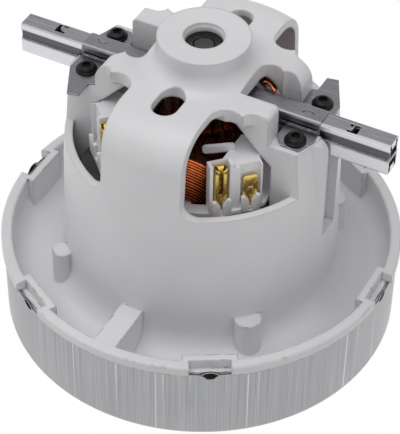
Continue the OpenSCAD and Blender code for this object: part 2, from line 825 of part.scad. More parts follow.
module upper_insulator() {
    color("whitesmoke") difference() {
        union() {
            translate([0, 0, insulator_z]) linear_extrude(height = insulator_t) difference() {
                intersection() {
                    circle(r = block_face + 1);
                    square([2 * stack_flat - 0.6, 3 * stack_r], center = true);
                }
                circle(r = stator_bore_r + gap_r);
                slot_windows(0.3);
            }
            for (a = [-90, 90]) translate([0, 0, insulator_z])
                linear_extrude(height = block_top - 3 - insulator_z)
                    ring_sector(core_in_r - slip, stator_bore_r + gap_r, a - 42, a + 42);
            for (sx = sides, sy = sides) mirror([sx < 0 ? 1 : 0, 0, 0]) mirror([0, sy > 0 ? 1 : 0, 0])
                coil_tongue();
            for (sx = sides, sy = sides) difference() {
                union() {
                    translate([0, 0, insulator_z]) mirror([sx < 0 ? 1 : 0, 0, 0])
                        mirror([0, sy > 0 ? 1 : 0, 0]) linear_extrude(height = block_top - insulator_z)
                            block_outline();
                    on_block(sx, sy) translate([block_face - 3.4, -block_half, insulator_z])
                        cube([3.4, 8, block_top + 2.2 - insulator_z]);
                }
                translate([0, 0, insulator_z - cut])
                    cylinder(r = block_clear, h = block_top - block_slab - insulator_z + cut);
                on_block(sx, sy) {
                    translate([
                        block_face - contact_d - 0.1, contact_t - contact_w / 2 - 0.3, contact_foot - 1
                    ]) cube([far, contact_w + 0.6, far]);
                    translate([block_face - 1.6, tab_t - tab_w / 2 - 0.9, tab_foot - 0.1])
                        cube([far, tab_w + 1.8, far]);
                    for (t = [contact_t, tab_t])
                        translate([block_face - 1.6, t - 0.8, insulator_z + insulator_t])
                            cube([far, 1.6, 10]);
                }
            }
        }
    }
}

module lower_insulator() {
    color("whitesmoke") {
        translate([0, 0, stack_z - 0.1 - insulator_t]) linear_extrude(height = insulator_t) difference() {
            intersection() {
                circle(r = block_face + 1);
                square([2 * stack_flat - 0.6, 3 * stack_r], center = true);
            }
            circle(r = stator_bore_r + gap_r);
            slot_windows(0.3);
        }
        for (a = [-90, 90]) translate([0, 0, coil_foot_out + 1])
            linear_extrude(height = stack_z - 1.6 - coil_foot_out)
                ring_sector(core_in_r - slip, stator_bore_r + gap_r, a - 42, a + 42);
    }
}

module field_core() {
    difference() {
        intersection() {
            translate([0, 0, coil_foot_out + 1]) linear_extrude(height = coil_top_out - coil_foot_out - 2)
                ring_sector(core_out_r, core_in_r, -90 - core_slot_angle, -90 + core_slot_angle);
            along_y(-far / 2, 0) {
                for (z = [coil_top_out - 1 - core_arch_r, coil_foot_out + 1 + core_arch_r])
                    translate([0, z]) circle(r = core_arch_r);
                translate([-far / 2, stack_z]) square([far, stack_h]);
            }
        }
        translate([0, 0, stack_z - 2]) linear_extrude(height = stack_h + 5)
            sector(core_out_r + 3, -90 - core_pole_angle, -90 + core_pole_angle);
    }
}

module field_core_front() {
    color("sienna") field_core();
}

module field_core_back() {
    color("sienna") rotate([0, 0, 180]) field_core();
}

// point on the field winding after t turns, on a cylinder round the motor axis
function coil_point(t) =
    let (f = t / coil_turns, a = mix(coil_angle_in, coil_angle_out, f), n = mix(3.2, 2.8, f))
    let (up = mix(coil_top_in, coil_top_out, f) - coil_mid)
    let (down = coil_mid - mix(coil_foot_in, coil_foot_out, f))
    let (c = signed_pow(cos(360 * t), 2 / n), s = signed_pow(sin(360 * t), 2 / n))
    let (p = pt(coil_r, -90 + a * c))
    [p[0], p[1], coil_mid + (s > 0 ? up : down) * s];

coil_path = [for (i = [0:coil_turns * coil_rings]) coil_point(i / coil_rings)];

function seg_dist(p, a, b) =
    let (d = b - a, t = max(0, min(1, ((p - a) * d) / (d * d)))) norm(p - a - t * d);

// least distance between a tube and its own next turn, from wall to wall
function least_gap(path, per_turn, r) = min([
    for (i = [0:len(path) - 1], k = [round(per_turn * 0.6):round(per_turn * 1.4)])
        if (i + k + 1 < len(path)) seg_dist(path[i], path[i + k], path[i + k + 1])
]) - 2 * r;

module field_wire_front() {
    color("peru") wire(coil_path, coil_wire_r, wire_sides);
}

module field_wire_back() {
    color("peru") rotate([0, 0, 180]) wire(coil_path, coil_wire_r, wire_sides);
}

// folded contact that grips a wire, and the flat tab for the mains lead
module pocket_contact() {
    translate([block_face - contact_d, contact_t - contact_w / 2, contact_foot])
        cube([0.4, contact_w, contact_h]);
    for (s = sides) {
        translate([block_face - contact_d, contact_t + s * (contact_w / 2 - 0.2) - 0.2, contact_foot])
            cube([contact_d - 0.1, 0.4, contact_h]);
        translate([block_face - 0.5, contact_t + s * 1.65 - 0.75, contact_foot])
            cube([0.4, 1.5, contact_h - 2]);
    }
    translate([block_face - contact_d, contact_t - contact_w / 2, contact_foot + contact_h - 0.4])
        cube([1.8, contact_w, 0.4]);
    translate([block_face - 1.3, contact_t - 0.6, insulator_z + insulator_t + 0.2])
        cube([0.5, 1.2, contact_foot - insulator_z - insulator_t + 0.3]);
    translate([block_face - contact_d, contact_t - 0.6, contact_foot]) cube([2.1, 1.2, 0.4]);
}

module winding_contacts() {
    color("goldenrod") for (sx = sides, sy = sides) on_block(sx, sy) pocket_contact();
}

module mains_tabs() {
    color("gold") for (a = [0, 180]) rotate([0, 0, a]) on_block(1, -1) {
        translate([block_face - 0.9, tab_t, 0]) difference() {
            along_x(0, tab_thick) {
                translate([0, tab_foot + tab_h / 2]) round_rect(tab_w, tab_h, 0.8);
                translate([-0.6, insulator_z + insulator_t + 0.2])
                    square([1.2, tab_foot - insulator_z - insulator_t + 1]);
            }
            translate([-cut, 0, tab_foot + tab_h - 3.6]) rotate([0, 90, 0]) cylinder(r = 0.6, h = 3);
            translate([-cut, -0.15, tab_foot + 2.4]) cube([3, 0.3, 2.6]);
        }
    }
}

// leads from the field coils up to the brush clips; the route is chosen by hand
lead_r = 0.55;
lead_route = [
    [17, 19, 82.2], [17, 17, 84.2], [16.8, 14, 87], [16.8, 11, 90], [17.2, 8.4, 93],
    [18.4, 6.6, 95.4], [20.2, 5.2, 96.6], [22, 4, 96.6], [23.6, 3, 96.1]
];

module brush_leads() {
    color("orangered") for (a = [0, 180]) rotate([0, 0, a]) wire(lead_route, lead_r, 8);
}

// brush gear

module holder_profile(inset) {
    translate([0, carbon_z]) difference() {
        round_rect(holder_w - 2 * inset, holder_h - 2 * inset, max(0.9 - inset, 0.3));
        for (s = sides) translate([s * (holder_w / 2 - groove_d - inset + far / 2), groove_mid - carbon_z])
            square([far, groove_span + 2 * inset], center = true);
    }
}

module brush_holder() {
    slot_x = holder_tip - 15;
    difference() {
        along_x(holder_inner, holder_tip) difference() {
            holder_profile(0);
            holder_profile(holder_t);
        }
        translate([slot_x, -2.6, holder_top - holder_t - 0.2]) cube([3.6, 4, far]);
    }
    // bent tab in the slot, and the lugs that close the tip
    translate([slot_x - 0.2, -1.6, holder_top - holder_t]) cube([2, 1.8, holder_t]);
    translate([slot_x + 1.4, -1.6, holder_top - holder_t]) cube([0.4, 1.8, holder_t + 0.7]);
    translate([holder_tip - end_tab, -holder_w / 2 + holder_t / 2, groove_low_z - 0.6])
        cube([end_tab, holder_w - holder_t, 1.2]);
    translate([holder_tip - end_tab, -1.4, holder_top - 2.6]) cube([end_tab, 2.8, 2.3]);
    translate([holder_tip - end_tab, -1.4, holder_top - holder_h + 0.3]) cube([end_tab, 2.8, 2]);
}

module brush_holder_right() {
    color("darkgray") brush_holder();
}

module brush_holder_left() {
    color("darkgray") rotate([0, 0, 180]) brush_holder();
}

module plate_outline(horn) {
    edge = clip_w / 2 - 0.3;
    polygon(horn ? [
        [screw_x - 6, edge], [screw_x - 6, screw_y + 5.2], [screw_x - 4.3, screw_y + 5.9],
        [screw_x - 4.2, screw_y + 12.6], [screw_x - 0.5, screw_y + 13.4], [clip_end + 0.2, screw_y + 1.2],
        [clip_end, edge]
    ] : [
        [screw_x - 6, edge], [screw_x - 6, screw_y + 0.5], [screw_x - 3.3, screw_y + 4],
        [screw_x + 3.1, screw_y + 4.2], [clip_end + 0.1, screw_y - 2.2], [clip_end - 0.4, edge]
    ]);
}

module brush_clip() {
    difference() {
        union() {
            along_x(holder_inner + 0.2, clip_end) difference() {
                translate([0, clip_top - 10]) round_rect(clip_w, 20, 0.9 + clip_t);
                translate([0, holder_top + clip_gap - 10]) round_rect(holder_w + 2 * clip_gap, 20, 0.9);
                translate([-far / 2, plate_z - plate_t - far]) square([far, far]);
            }
            translate([0, 0, plate_z - plate_t]) linear_extrude(height = plate_t) {
                plate_outline(true);
                mirror([0, 1]) plate_outline(false);
            }
        }
        translate([screw_x - 8, -far / 2, plate_z + 0.6]) cube([12.5, far, 0.9]);
        for (s = sides) translate([screw_x, s * screw_y, 0]) cylinder(r = screw_shank_r + 0.25, h = far);
        // lanced half ring that grips the tube
        translate([screw_x, -1.6, holder_top - 0.2]) linear_extrude(height = 3)
            ring_sector(2.1, 1.7, 10, 170);
    }
}

module brush_clip_right() {
    color("silver") brush_clip();
}

module brush_clip_left() {
    color("silver") rotate([0, 0, 180]) brush_clip();
}

module clip_screws() {
    color("black") for (sx = sides, sy = sides) translate([sx * screw_x, sy * screw_y, plate_z]) {
        difference() {
            translate([0, 0, 0.02]) cylinder(r = screw_head_r, h = screw_head_h);
            translate([0, 0, screw_head_h - 1.2]) cylinder(r = 1.7, h = 2, $fn = 6);
        }
        translate([0, 0, -screw_l]) cylinder(r = screw_shank_r, h = screw_l + 0.1);
    }
}

module carbon_brush() {
    difference() {
        along_x(commutator_r - 2, carbon_back) holder_profile(holder_t + carbon_gap);
        translate([0, 0, carbon_z - holder_h]) cylinder(r = carbon_tip, h = 2 * holder_h);
    }
}

module carbon_right() {
    color("dimgray") carbon_brush();
}

module carbon_left() {
    color("dimgray") rotate([0, 0, 180]) carbon_brush();
}

spring_rings = 8;
spring_path = [for (i = [0:spring_turns * spring_rings])
    let (f = i / (spring_turns * spring_rings), a = 360 * i / spring_rings)
    let (x = mix(carbon_back + spring_wire_r + 0.1, spring_end - spring_wire_r, f))
    [x, spring_r * cos(a), carbon_z + spring_r * sin(a)]];

// the same tube, with its rings set up round the spring's own axis
module spring_wire(points, r, sides_n) {
    n = len(points);
    dirs = [for (i = [0:n - 1]) let (d = points[min(i + 1, n - 1)] - points[max(i - 1, 0)]) d / norm(d)];
    ups = [for (i = [0:n - 1])
        let (q = [0, points[i][1], points[i][2] - carbon_z], c = q - (q * dirs[i]) * dirs[i]) c / norm(c)];
    rings = [for (i = [0:n - 1], k = [0:sides_n - 1])
        let (a = 360 * k / sides_n) points[i] + r * (cos(a) * ups[i] + sin(a) * cross(dirs[i], ups[i]))];
    sides_f = [for (i = [0:n - 2], k = [0:sides_n - 1])
        let (m = (k + 1) % sides_n, a = i * sides_n, b = (i + 1) * sides_n)
        each [[a + k, a + m, b + k], [a + m, b + m, b + k]]];
    start_f = [for (k = [1:sides_n - 2]) [0, k + 1, k]];
    last = (n - 1) * sides_n;
    end_f = [for (k = [1:sides_n - 2]) [last, last + k, last + k + 1]];
    polyhedron(points = rings, faces = concat(sides_f, start_f, end_f));
}

module brush_spring_right() {
    color("lightgray") spring_wire(spring_path, spring_wire_r, wire_sides);
}

module brush_spring_left() {
    color("lightgray") rotate([0, 0, 180]) spring_wire(spring_path, spring_wire_r, wire_sides);
}

// rotor

module shaft() {
    color("lightgray") rotate_extrude() polygon([
        [0, shaft_end], [shaft_r - 0.6, shaft_end], [shaft_r, shaft_end + 0.6],
        [shaft_r, shaft_step_z - 0.4], [shaft_top_r, shaft_step_z],
        [shaft_top_r, shaft_top - 0.4], [shaft_top_r - 0.4, shaft_top], [0, shaft_top]
    ]);
}

module slot_shape(r, out) {
    translate([core_slot_r, 0]) circle(r = r);
    translate([core_slot_r + core_slot_d, 0]) circle(r = r);
    translate([core_slot_r, -r]) square([core_slot_d, 2 * r]);
    translate([core_slot_r, -out]) square([far, 2 * out]);
}

module armature_core() {
    color("slategray") translate([0, 0, stack_z]) linear_extrude(height = stack_h) difference() {
        circle(r = armature_r);
        circle(r = shaft_r + shaft_fit);
        for (i = [0:slots_n - 1]) rotate([0, 0, (i + 0.5) * 360 / slots_n]) slot_shape(1.15, 0.5);
    }
}

module armature_winding() {
    color("brown") {
        translate([0, 0, stack_z - 1]) linear_extrude(height = stack_h + 2)
            for (i = [0:slots_n - 1]) rotate([0, 0, (i + 0.5) * 360 / slots_n]) {
                translate([core_slot_r, 0]) circle(r = 0.9);
                translate([core_slot_r + core_slot_d, 0]) circle(r = 0.9);
                translate([core_slot_r, -0.9]) square([core_slot_d, 1.8]);
            }
        rotate_extrude() {
            polygon([
                [shaft_r + 1.4, stack_top + gap_r], [head_r, stack_top + gap_r],
                [head_r, stack_top + 5], [head_r - 1.4, stack_top + 8],
                [commutator_r, commutator_z - 0.8], [shaft_r + 1.4, commutator_z - 0.8]
            ]);
            polygon([
                [shaft_r + 1.4, stack_z - gap_r], [head_r, stack_z - gap_r], [head_r, stack_z - 5],
                [head_r - 3, stack_z - 10], [shaft_r + 1.4, stack_z - 11]
            ]);
        }
    }
}

module commutator_bars() {
    color("peru") difference() {
        union() {
            translate([0, 0, commutator_z])
                tube(commutator_r, hub_r + shaft_fit, commutator_top - commutator_z);
            translate([0, 0, commutator_z]) tube(commutator_r + 1.1, hub_r + shaft_fit, riser_h);
        }
        for (i = [0:slots_n - 1]) rotate([0, 0, i * 360 / slots_n])
            translate([0, -bar_gap / 2, commutator_z - cut]) cube([far, bar_gap, far]);
    }
}

module commutator_hub() {
    color("saddlebrown") translate([0, 0, commutator_z - 0.4])
        tube(hub_r, shaft_r + shaft_fit, commutator_top - commutator_z + 0.8);
}

// bearings, each piece a module of its own size

function pitch_r(r_out, bore) = (r_out + bore) / 2;
function ball_r(r_out, bore) = (r_out - bore) * 0.28;

module race(r_out, bore) {
    rotate_extrude() translate([pitch_r(r_out, bore), 0]) circle(r = ball_r(r_out, bore));
}

module bearing_outer(r_out, bore, w) {
    difference() {
        tube(r_out, pitch_r(r_out, bore) + ball_r(r_out, bore) * 0.62, w);
        translate([0, 0, w / 2]) race(r_out, bore);
    }
}

module bearing_inner(r_out, bore, w) {
    difference() {
        tube(pitch_r(r_out, bore) - ball_r(r_out, bore) * 0.62, bore + shaft_fit, w);
        translate([0, 0, w / 2]) race(r_out, bore);
    }
}

module ball_places(r_out, bore, w) {
    for (i = [0:balls_n - 1]) rotate([0, 0, i * 360 / balls_n])
        translate([pitch_r(r_out, bore), 0, w / 2]) children();
}

module bearing_balls(r_out, bore, w) {
    ball_places(r_out, bore, w) sphere(r = ball_r(r_out, bore) - ball_gap);
}

module bearing_cage(r_out, bore, w) {
    half = ball_r(r_out, bore) * 0.32;
    high = ball_r(r_out, bore) + 0.5;
    difference() {
        translate([0, 0, w / 2 - high])
            tube(pitch_r(r_out, bore) + half, pitch_r(r_out, bore) - half, 2 * high);
        ball_places(r_out, bore, w) rotate([0, 90, 0])
            cylinder(r = ball_r(r_out, bore) + ball_gap, h = 4 * half, center = true);
    }
}

module bearing_seals(r_out, bore, w) {
    reach = ball_r(r_out, bore) * 0.62;
    for (z = [seal_inset, w - seal_inset - seal_t]) translate([0, 0, z])
        tube(pitch_r(r_out, bore) + reach - shaft_fit, pitch_r(r_out, bore) - reach + slip, seal_t);
}

module at_low() {
    translate([0, 0, low_bearing_z]) children();
}

module at_top() {
    translate([0, 0, top_bearing_z]) children();
}

module lower_bearing_outer() {
    color("lightgray") at_low() bearing_outer(low_bearing_r, shaft_r, low_bearing_w);
}

module lower_bearing_inner() {
    color("lightgray") at_low() bearing_inner(low_bearing_r, shaft_r, low_bearing_w);
}

module lower_bearing_balls() {
    color("silver") at_low() bearing_balls(low_bearing_r, shaft_r, low_bearing_w);
}

module lower_bearing_cage() {
    color("tan") at_low() bearing_cage(low_bearing_r, shaft_r, low_bearing_w);
}

module lower_bearing_seals() {
    color("black") at_low() bearing_seals(low_bearing_r, shaft_r, low_bearing_w);
}

module upper_bearing_outer() {
    color("lightgray") at_top() bearing_outer(top_bearing_r, shaft_top_r, top_bearing_w);
}

module upper_bearing_inner() {
    color("lightgray") at_top() bearing_inner(top_bearing_r, shaft_top_r, top_bearing_w);
}

module upper_bearing_balls() {
    color("silver") at_top() bearing_balls(top_bearing_r, shaft_top_r, top_bearing_w);
}

module upper_bearing_cage() {
    color("tan") at_top() bearing_cage(top_bearing_r, shaft_top_r, top_bearing_w);
}

module upper_bearing_seals() {
    color("black") at_top() bearing_seals(top_bearing_r, shaft_top_r, top_bearing_w);
}

module upper_bearing_damper() {
    color("black") at_top() tube(boss_seat_r - 0.05, top_bearing_r + shaft_fit, top_bearing_w);
}

echo(field_wire_least_gap = least_gap(coil_path, coil_rings, coil_wire_r));
echo(brush_spring_least_gap = least_gap(spring_path, spring_rings, spring_wire_r));

motor_housing();
fan_shroud();
diffuser();
diffuser_screws();
fan_back_disc();
fan_front_disc();
fan_blades();
fan_spacer();
fan_washer();
fan_nut();
stator_stack();
upper_insulator();
lower_insulator();
field_core_front();
field_core_back();
field_wire_front();
field_wire_back();
winding_contacts();
mains_tabs();
brush_leads();
brush_holder_right();
brush_holder_left();
brush_clip_right();
brush_clip_left();
clip_screws();
carbon_right();
carbon_left();
brush_spring_right();
brush_spring_left();
shaft();
armature_core();
armature_winding();
commutator_bars();
commutator_hub();
lower_bearing_outer();
lower_bearing_inner();
lower_bearing_balls();
lower_bearing_cage();
lower_bearing_seals();
upper_bearing_outer();
upper_bearing_inner();
upper_bearing_balls();
upper_bearing_cage();
upper_bearing_seals();
upper_bearing_damper();
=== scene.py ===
import math
import random

import bmesh
import bpy
from mathutils import Matrix, Quaternion, Vector


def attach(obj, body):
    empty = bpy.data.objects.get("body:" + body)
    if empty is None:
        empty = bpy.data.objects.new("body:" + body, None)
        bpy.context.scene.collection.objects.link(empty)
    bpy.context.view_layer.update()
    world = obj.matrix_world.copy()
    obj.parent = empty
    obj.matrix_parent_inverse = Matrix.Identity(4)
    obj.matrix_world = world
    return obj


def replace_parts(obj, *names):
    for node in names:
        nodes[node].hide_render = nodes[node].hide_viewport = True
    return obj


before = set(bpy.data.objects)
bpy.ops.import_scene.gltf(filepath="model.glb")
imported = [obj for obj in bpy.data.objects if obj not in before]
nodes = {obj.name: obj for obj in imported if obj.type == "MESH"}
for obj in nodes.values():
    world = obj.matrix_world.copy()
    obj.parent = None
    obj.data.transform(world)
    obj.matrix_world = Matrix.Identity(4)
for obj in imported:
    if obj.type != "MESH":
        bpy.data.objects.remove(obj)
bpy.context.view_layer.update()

random.seed(7)
mm = 0.001
samePlace = 1e-7  # metres: corners closer than this are merged
sides = (1, -1)
print("frame loaded:", len(nodes), "nodes")


# colours are written as seen on screen, 0 to 255
def tint(red, green, blue):
    def linear(value):
        value /= 255
        return value / 12.92 if value <= 0.04045 else ((value + 0.055) / 1.055) ** 2.4
    return (linear(red), linear(green), linear(blue), 1)


def newMaterial(name):
    material = bpy.data.materials.new(name)
    material.use_nodes = True
    tree = material.node_tree
    tree.nodes.clear()
    out = tree.nodes.new("ShaderNodeOutputMaterial")
    shader = tree.nodes.new("ShaderNodeBsdfPrincipled")
    tree.links.new(shader.outputs["BSDF"], out.inputs["Surface"])
    return material, tree, shader


def newGroup(name, inputs, outputs):
    tree = bpy.data.node_groups.new(name, "ShaderNodeTree")
    for label, kind, start in inputs:
        socket = tree.interface.new_socket(name=label, in_out="INPUT", socket_type=kind)
        socket.default_value = start
    for label, kind in outputs:
        tree.interface.new_socket(name=label, in_out="OUTPUT", socket_type=kind)
    return tree, tree.nodes.new("NodeGroupInput"), tree.nodes.new("NodeGroupOutput")


def useGroup(tree, group, **values):
    node = tree.nodes.new("ShaderNodeGroup")
    node.node_tree = group
    for label, value in values.items():
        node.inputs[label].default_value = value
    return node


# a plain value is set on the socket, another node's output is linked to it
def feed(tree, value, socket):
    if isinstance(value, (int, float, tuple)):
        socket.default_value = value
    else:
        tree.links.new(value, socket)


def maths(tree, operation, first, second=None, clamp=False):
    node = tree.nodes.new("ShaderNodeMath")
    node.operation = operation
    node.use_clamp = clamp
    feed(tree, first, node.inputs[0])
    if second is not None:
        feed(tree, second, node.inputs[1])
    return node.outputs[0]


def noise(tree, vector, scale, detail=3.0, roughness=0.5):
    node = tree.nodes.new("ShaderNodeTexNoise")
    node.inputs["Detail"].default_value = detail
    node.inputs["Roughness"].default_value = roughness
    feed(tree, scale, node.inputs["Scale"])
    tree.links.new(vector, node.inputs["Vector"])
    return node.outputs["Fac"]


def spread(tree, value, low, high, newLow=0.0, newHigh=1.0):
    node = tree.nodes.new("ShaderNodeMapRange")
    node.inputs["From Min"].default_value = low
    node.inputs["From Max"].default_value = high
    node.inputs["To Min"].default_value = newLow
    node.inputs["To Max"].default_value = newHigh
    tree.links.new(value, node.inputs["Value"])
    return node.outputs["Result"]


def blendColour(tree, factor, first, second):
    node = tree.nodes.new("ShaderNodeMix")
    node.data_type = "RGBA"
    sockets = {s.identifier: s for s in node.inputs}
    for key, value in (("Factor_Float", factor), ("A_Color", first), ("B_Color", second)):
        feed(tree, value, sockets[key])
    return [s for s in node.outputs if s.identifier == "Result_Color"][0]


# relief that lies on the rounded edges
def bump(tree, height, strength, distance, rounded):
    node = tree.nodes.new("ShaderNodeBump")
    node.inputs["Strength"].default_value = strength
    node.inputs["Distance"].default_value = distance
    tree.links.new(rounded, node.inputs["Normal"])
    tree.links.new(height, node.inputs["Height"])
    return node.outputs["Normal"]


def objectPlace(tree):
    return tree.nodes.new("ShaderNodeTexCoord").outputs["Object"]


def heightOf(tree):
    parts = tree.nodes.new("ShaderNodeSeparateXYZ")
    tree.links.new(objectPlace(tree), parts.inputs["Vector"])
    return parts.outputs["Z"]


# 1 between two heights in mm: each is a pair, from where it is 0 to where it is 1
def heightBand(tree, foot, top):
    height = heightOf(tree)
    above = spread(tree, height, foot[0] * mm, foot[1] * mm)
    below = spread(tree, height, top[0] * mm, top[1] * mm)
    return maths(tree, "MULTIPLY", above, below)


# edges: where the true normal leaves the rounded one, broken up by noise
edges = {"samples": 4, "bend": (0.985, 0.86), "gaps": (0.35, 0.6), "gapDetail": 4.0}


def makeEdgeGroup():
    tree, inside, outside = newGroup(
        "edgeMask",
        [("Radius", "NodeSocketFloat", 0.0004), ("Breakup", "NodeSocketFloat", 900.0)],
        [("Mask", "NodeSocketFloat"), ("Rounded", "NodeSocketVector")],
    )
    rounded = tree.nodes.new("ShaderNodeBevel")
    rounded.samples = edges["samples"]
    tree.links.new(inside.outputs["Radius"], rounded.inputs["Radius"])
    plain = tree.nodes.new("ShaderNodeNewGeometry")
    product = tree.nodes.new("ShaderNodeVectorMath")
    product.operation = "DOT_PRODUCT"
    tree.links.new(rounded.outputs["Normal"], product.inputs[0])
    tree.links.new(plain.outputs["Normal"], product.inputs[1])
    bent = spread(tree, product.outputs["Value"], *edges["bend"])
    broken = noise(tree, objectPlace(tree), inside.outputs["Breakup"], edges["gapDetail"])
    mask = maths(tree, "MULTIPLY", bent, spread(tree, broken, *edges["gaps"]), clamp=True)
    tree.links.new(mask, outside.inputs["Mask"])
    tree.links.new(rounded.outputs["Normal"], outside.inputs["Rounded"])
    return tree


# lines left by brushing or drawing: noise pulled out along one or two axes
lines = {"detail": 4.0, "roughness": 0.65,
         "streakScale": 0.37, "streakDetail": 1.0, "streaks": (0.64, 0.76)}


def makeBrushGroup():
    tree, inside, outside = newGroup(
        "brushLines",
        [("Stretch", "NodeSocketVector", (1.0, 1.0, 0.02)), ("Scale", "NodeSocketFloat", 2500.0)],
        [("Lines", "NodeSocketFloat"), ("Streaks", "NodeSocketFloat")],
    )
    mapping = tree.nodes.new("ShaderNodeMapping")
    tree.links.new(objectPlace(tree), mapping.inputs["Vector"])
    tree.links.new(inside.outputs["Stretch"], mapping.inputs["Scale"])
    pulled = mapping.outputs["Vector"]
    fine = noise(tree, pulled, inside.outputs["Scale"], lines["detail"], lines["roughness"])
    coarse = maths(tree, "MULTIPLY", inside.outputs["Scale"], lines["streakScale"])
    narrow = noise(tree, pulled, coarse, lines["streakDetail"])
    tree.links.new(fine, outside.inputs["Lines"])
    tree.links.new(spread(tree, narrow, *lines["streaks"]), outside.inputs["Streaks"])
    return tree


# slow change of tone over a surface, and its grain
toneDetail = {"drift": 3.0, "grain": 5.0}


def makeToneGroup():
    tree, inside, outside = newGroup(
        "toneDrift",
        [("Broad", "NodeSocketFloat", 18.0), ("Fine", "NodeSocketFloat", 900.0)],
        [("Drift", "NodeSocketFloat"), ("Grain", "NodeSocketFloat")],
    )
    place = objectPlace(tree)
    drift = noise(tree, place, inside.outputs["Broad"], toneDetail["drift"])
    grain = noise(tree, place, inside.outputs["Fine"], toneDetail["grain"])
    tree.links.new(drift, outside.inputs["Drift"])
    tree.links.new(grain, outside.inputs["Grain"])
    return tree


edgeMask = makeEdgeGroup()
brushLines = makeBrushGroup()
toneDrift = makeToneGroup()

# plastics: the dash colour gives dark dashes along the rim's edges, corner the edge radius in mm
plasticLook = {
    "broad": 22.0, "fine": 1600.0, "edging": 500.0, "drift": (0.35, 0.7), "grain": (0.3, 0.7),
    "smoother": 0.05, "rougher": 0.07, "depth": 0.1,
    "dashFoot": (28.5, 28.8), "dashTop": (34.8, 34.5),
    "dashScale": 330.0, "dashes": (0.53, 0.6),
}
plastics = {
    "whitePlastic": {"colour": (221, 220, 222), "shade": (213, 212, 214),
                     "dashColour": (70, 68, 66), "corner": 1.1},
    "whiteFormer": {"colour": (236, 235, 238), "shade": (222, 221, 223), "rough": 0.36},
    "darkPlastic": {"colour": (44, 44, 47), "shade": (34, 34, 37), "rough": 0.5},
    "carbon": {"colour": (52, 52, 55), "shade": (38, 38, 41), "rough": 0.6, "grain": 0.3},
    "rubber": {"colour": (38, 38, 38), "shade": (24, 24, 25), "rough": 0.5},
    "cage": {"colour": (170, 132, 80), "shade": (150, 112, 66), "rough": 0.5},
    # painted shade: black for the crimps' mouths and seams
    "paintedShade": {"colour": (10, 10, 11), "shade": (16, 16, 17), "rough": 0.8, "specular": 0.15},
}


def rimDashes(tree, edging):
    look = plasticLook
    band = heightBand(tree, look["dashFoot"], look["dashTop"])
    broken = spread(tree, noise(tree, objectPlace(tree), look["dashScale"]), *look["dashes"])
    return maths(tree, "MULTIPLY", maths(tree, "MULTIPLY", edging, band), broken, clamp=True)


def plasticMaterial(name, colour, shade, rough=0.42, grain=0.12, dashColour=None, corner=0.4,
                    specular=0.5):
    look = plasticLook
    material, tree, shader = newMaterial(name)
    tone = useGroup(tree, toneDrift, Broad=look["broad"], Fine=look["fine"])
    edging = useGroup(tree, edgeMask, Radius=corner * mm, Breakup=look["edging"])
    drift = spread(tree, tone.outputs["Drift"], *look["drift"])
    base = blendColour(tree, drift, tint(*colour), tint(*shade))
    if dashColour:
        base = blendColour(tree, rimDashes(tree, edging.outputs["Mask"]), base, tint(*dashColour))
    gloss = (rough - look["smoother"], rough + look["rougher"])
    fine = tone.outputs["Grain"]
    normal = bump(tree, fine, grain, look["depth"] * mm, edging.outputs["Rounded"])
    tree.links.new(base, shader.inputs["Base Color"])
    tree.links.new(spread(tree, fine, *look["grain"], *gloss), shader.inputs["Roughness"])
    tree.links.new(normal, shader.inputs["Normal"])
    shader.inputs["Specular IOR Level"].default_value = specular
    return material
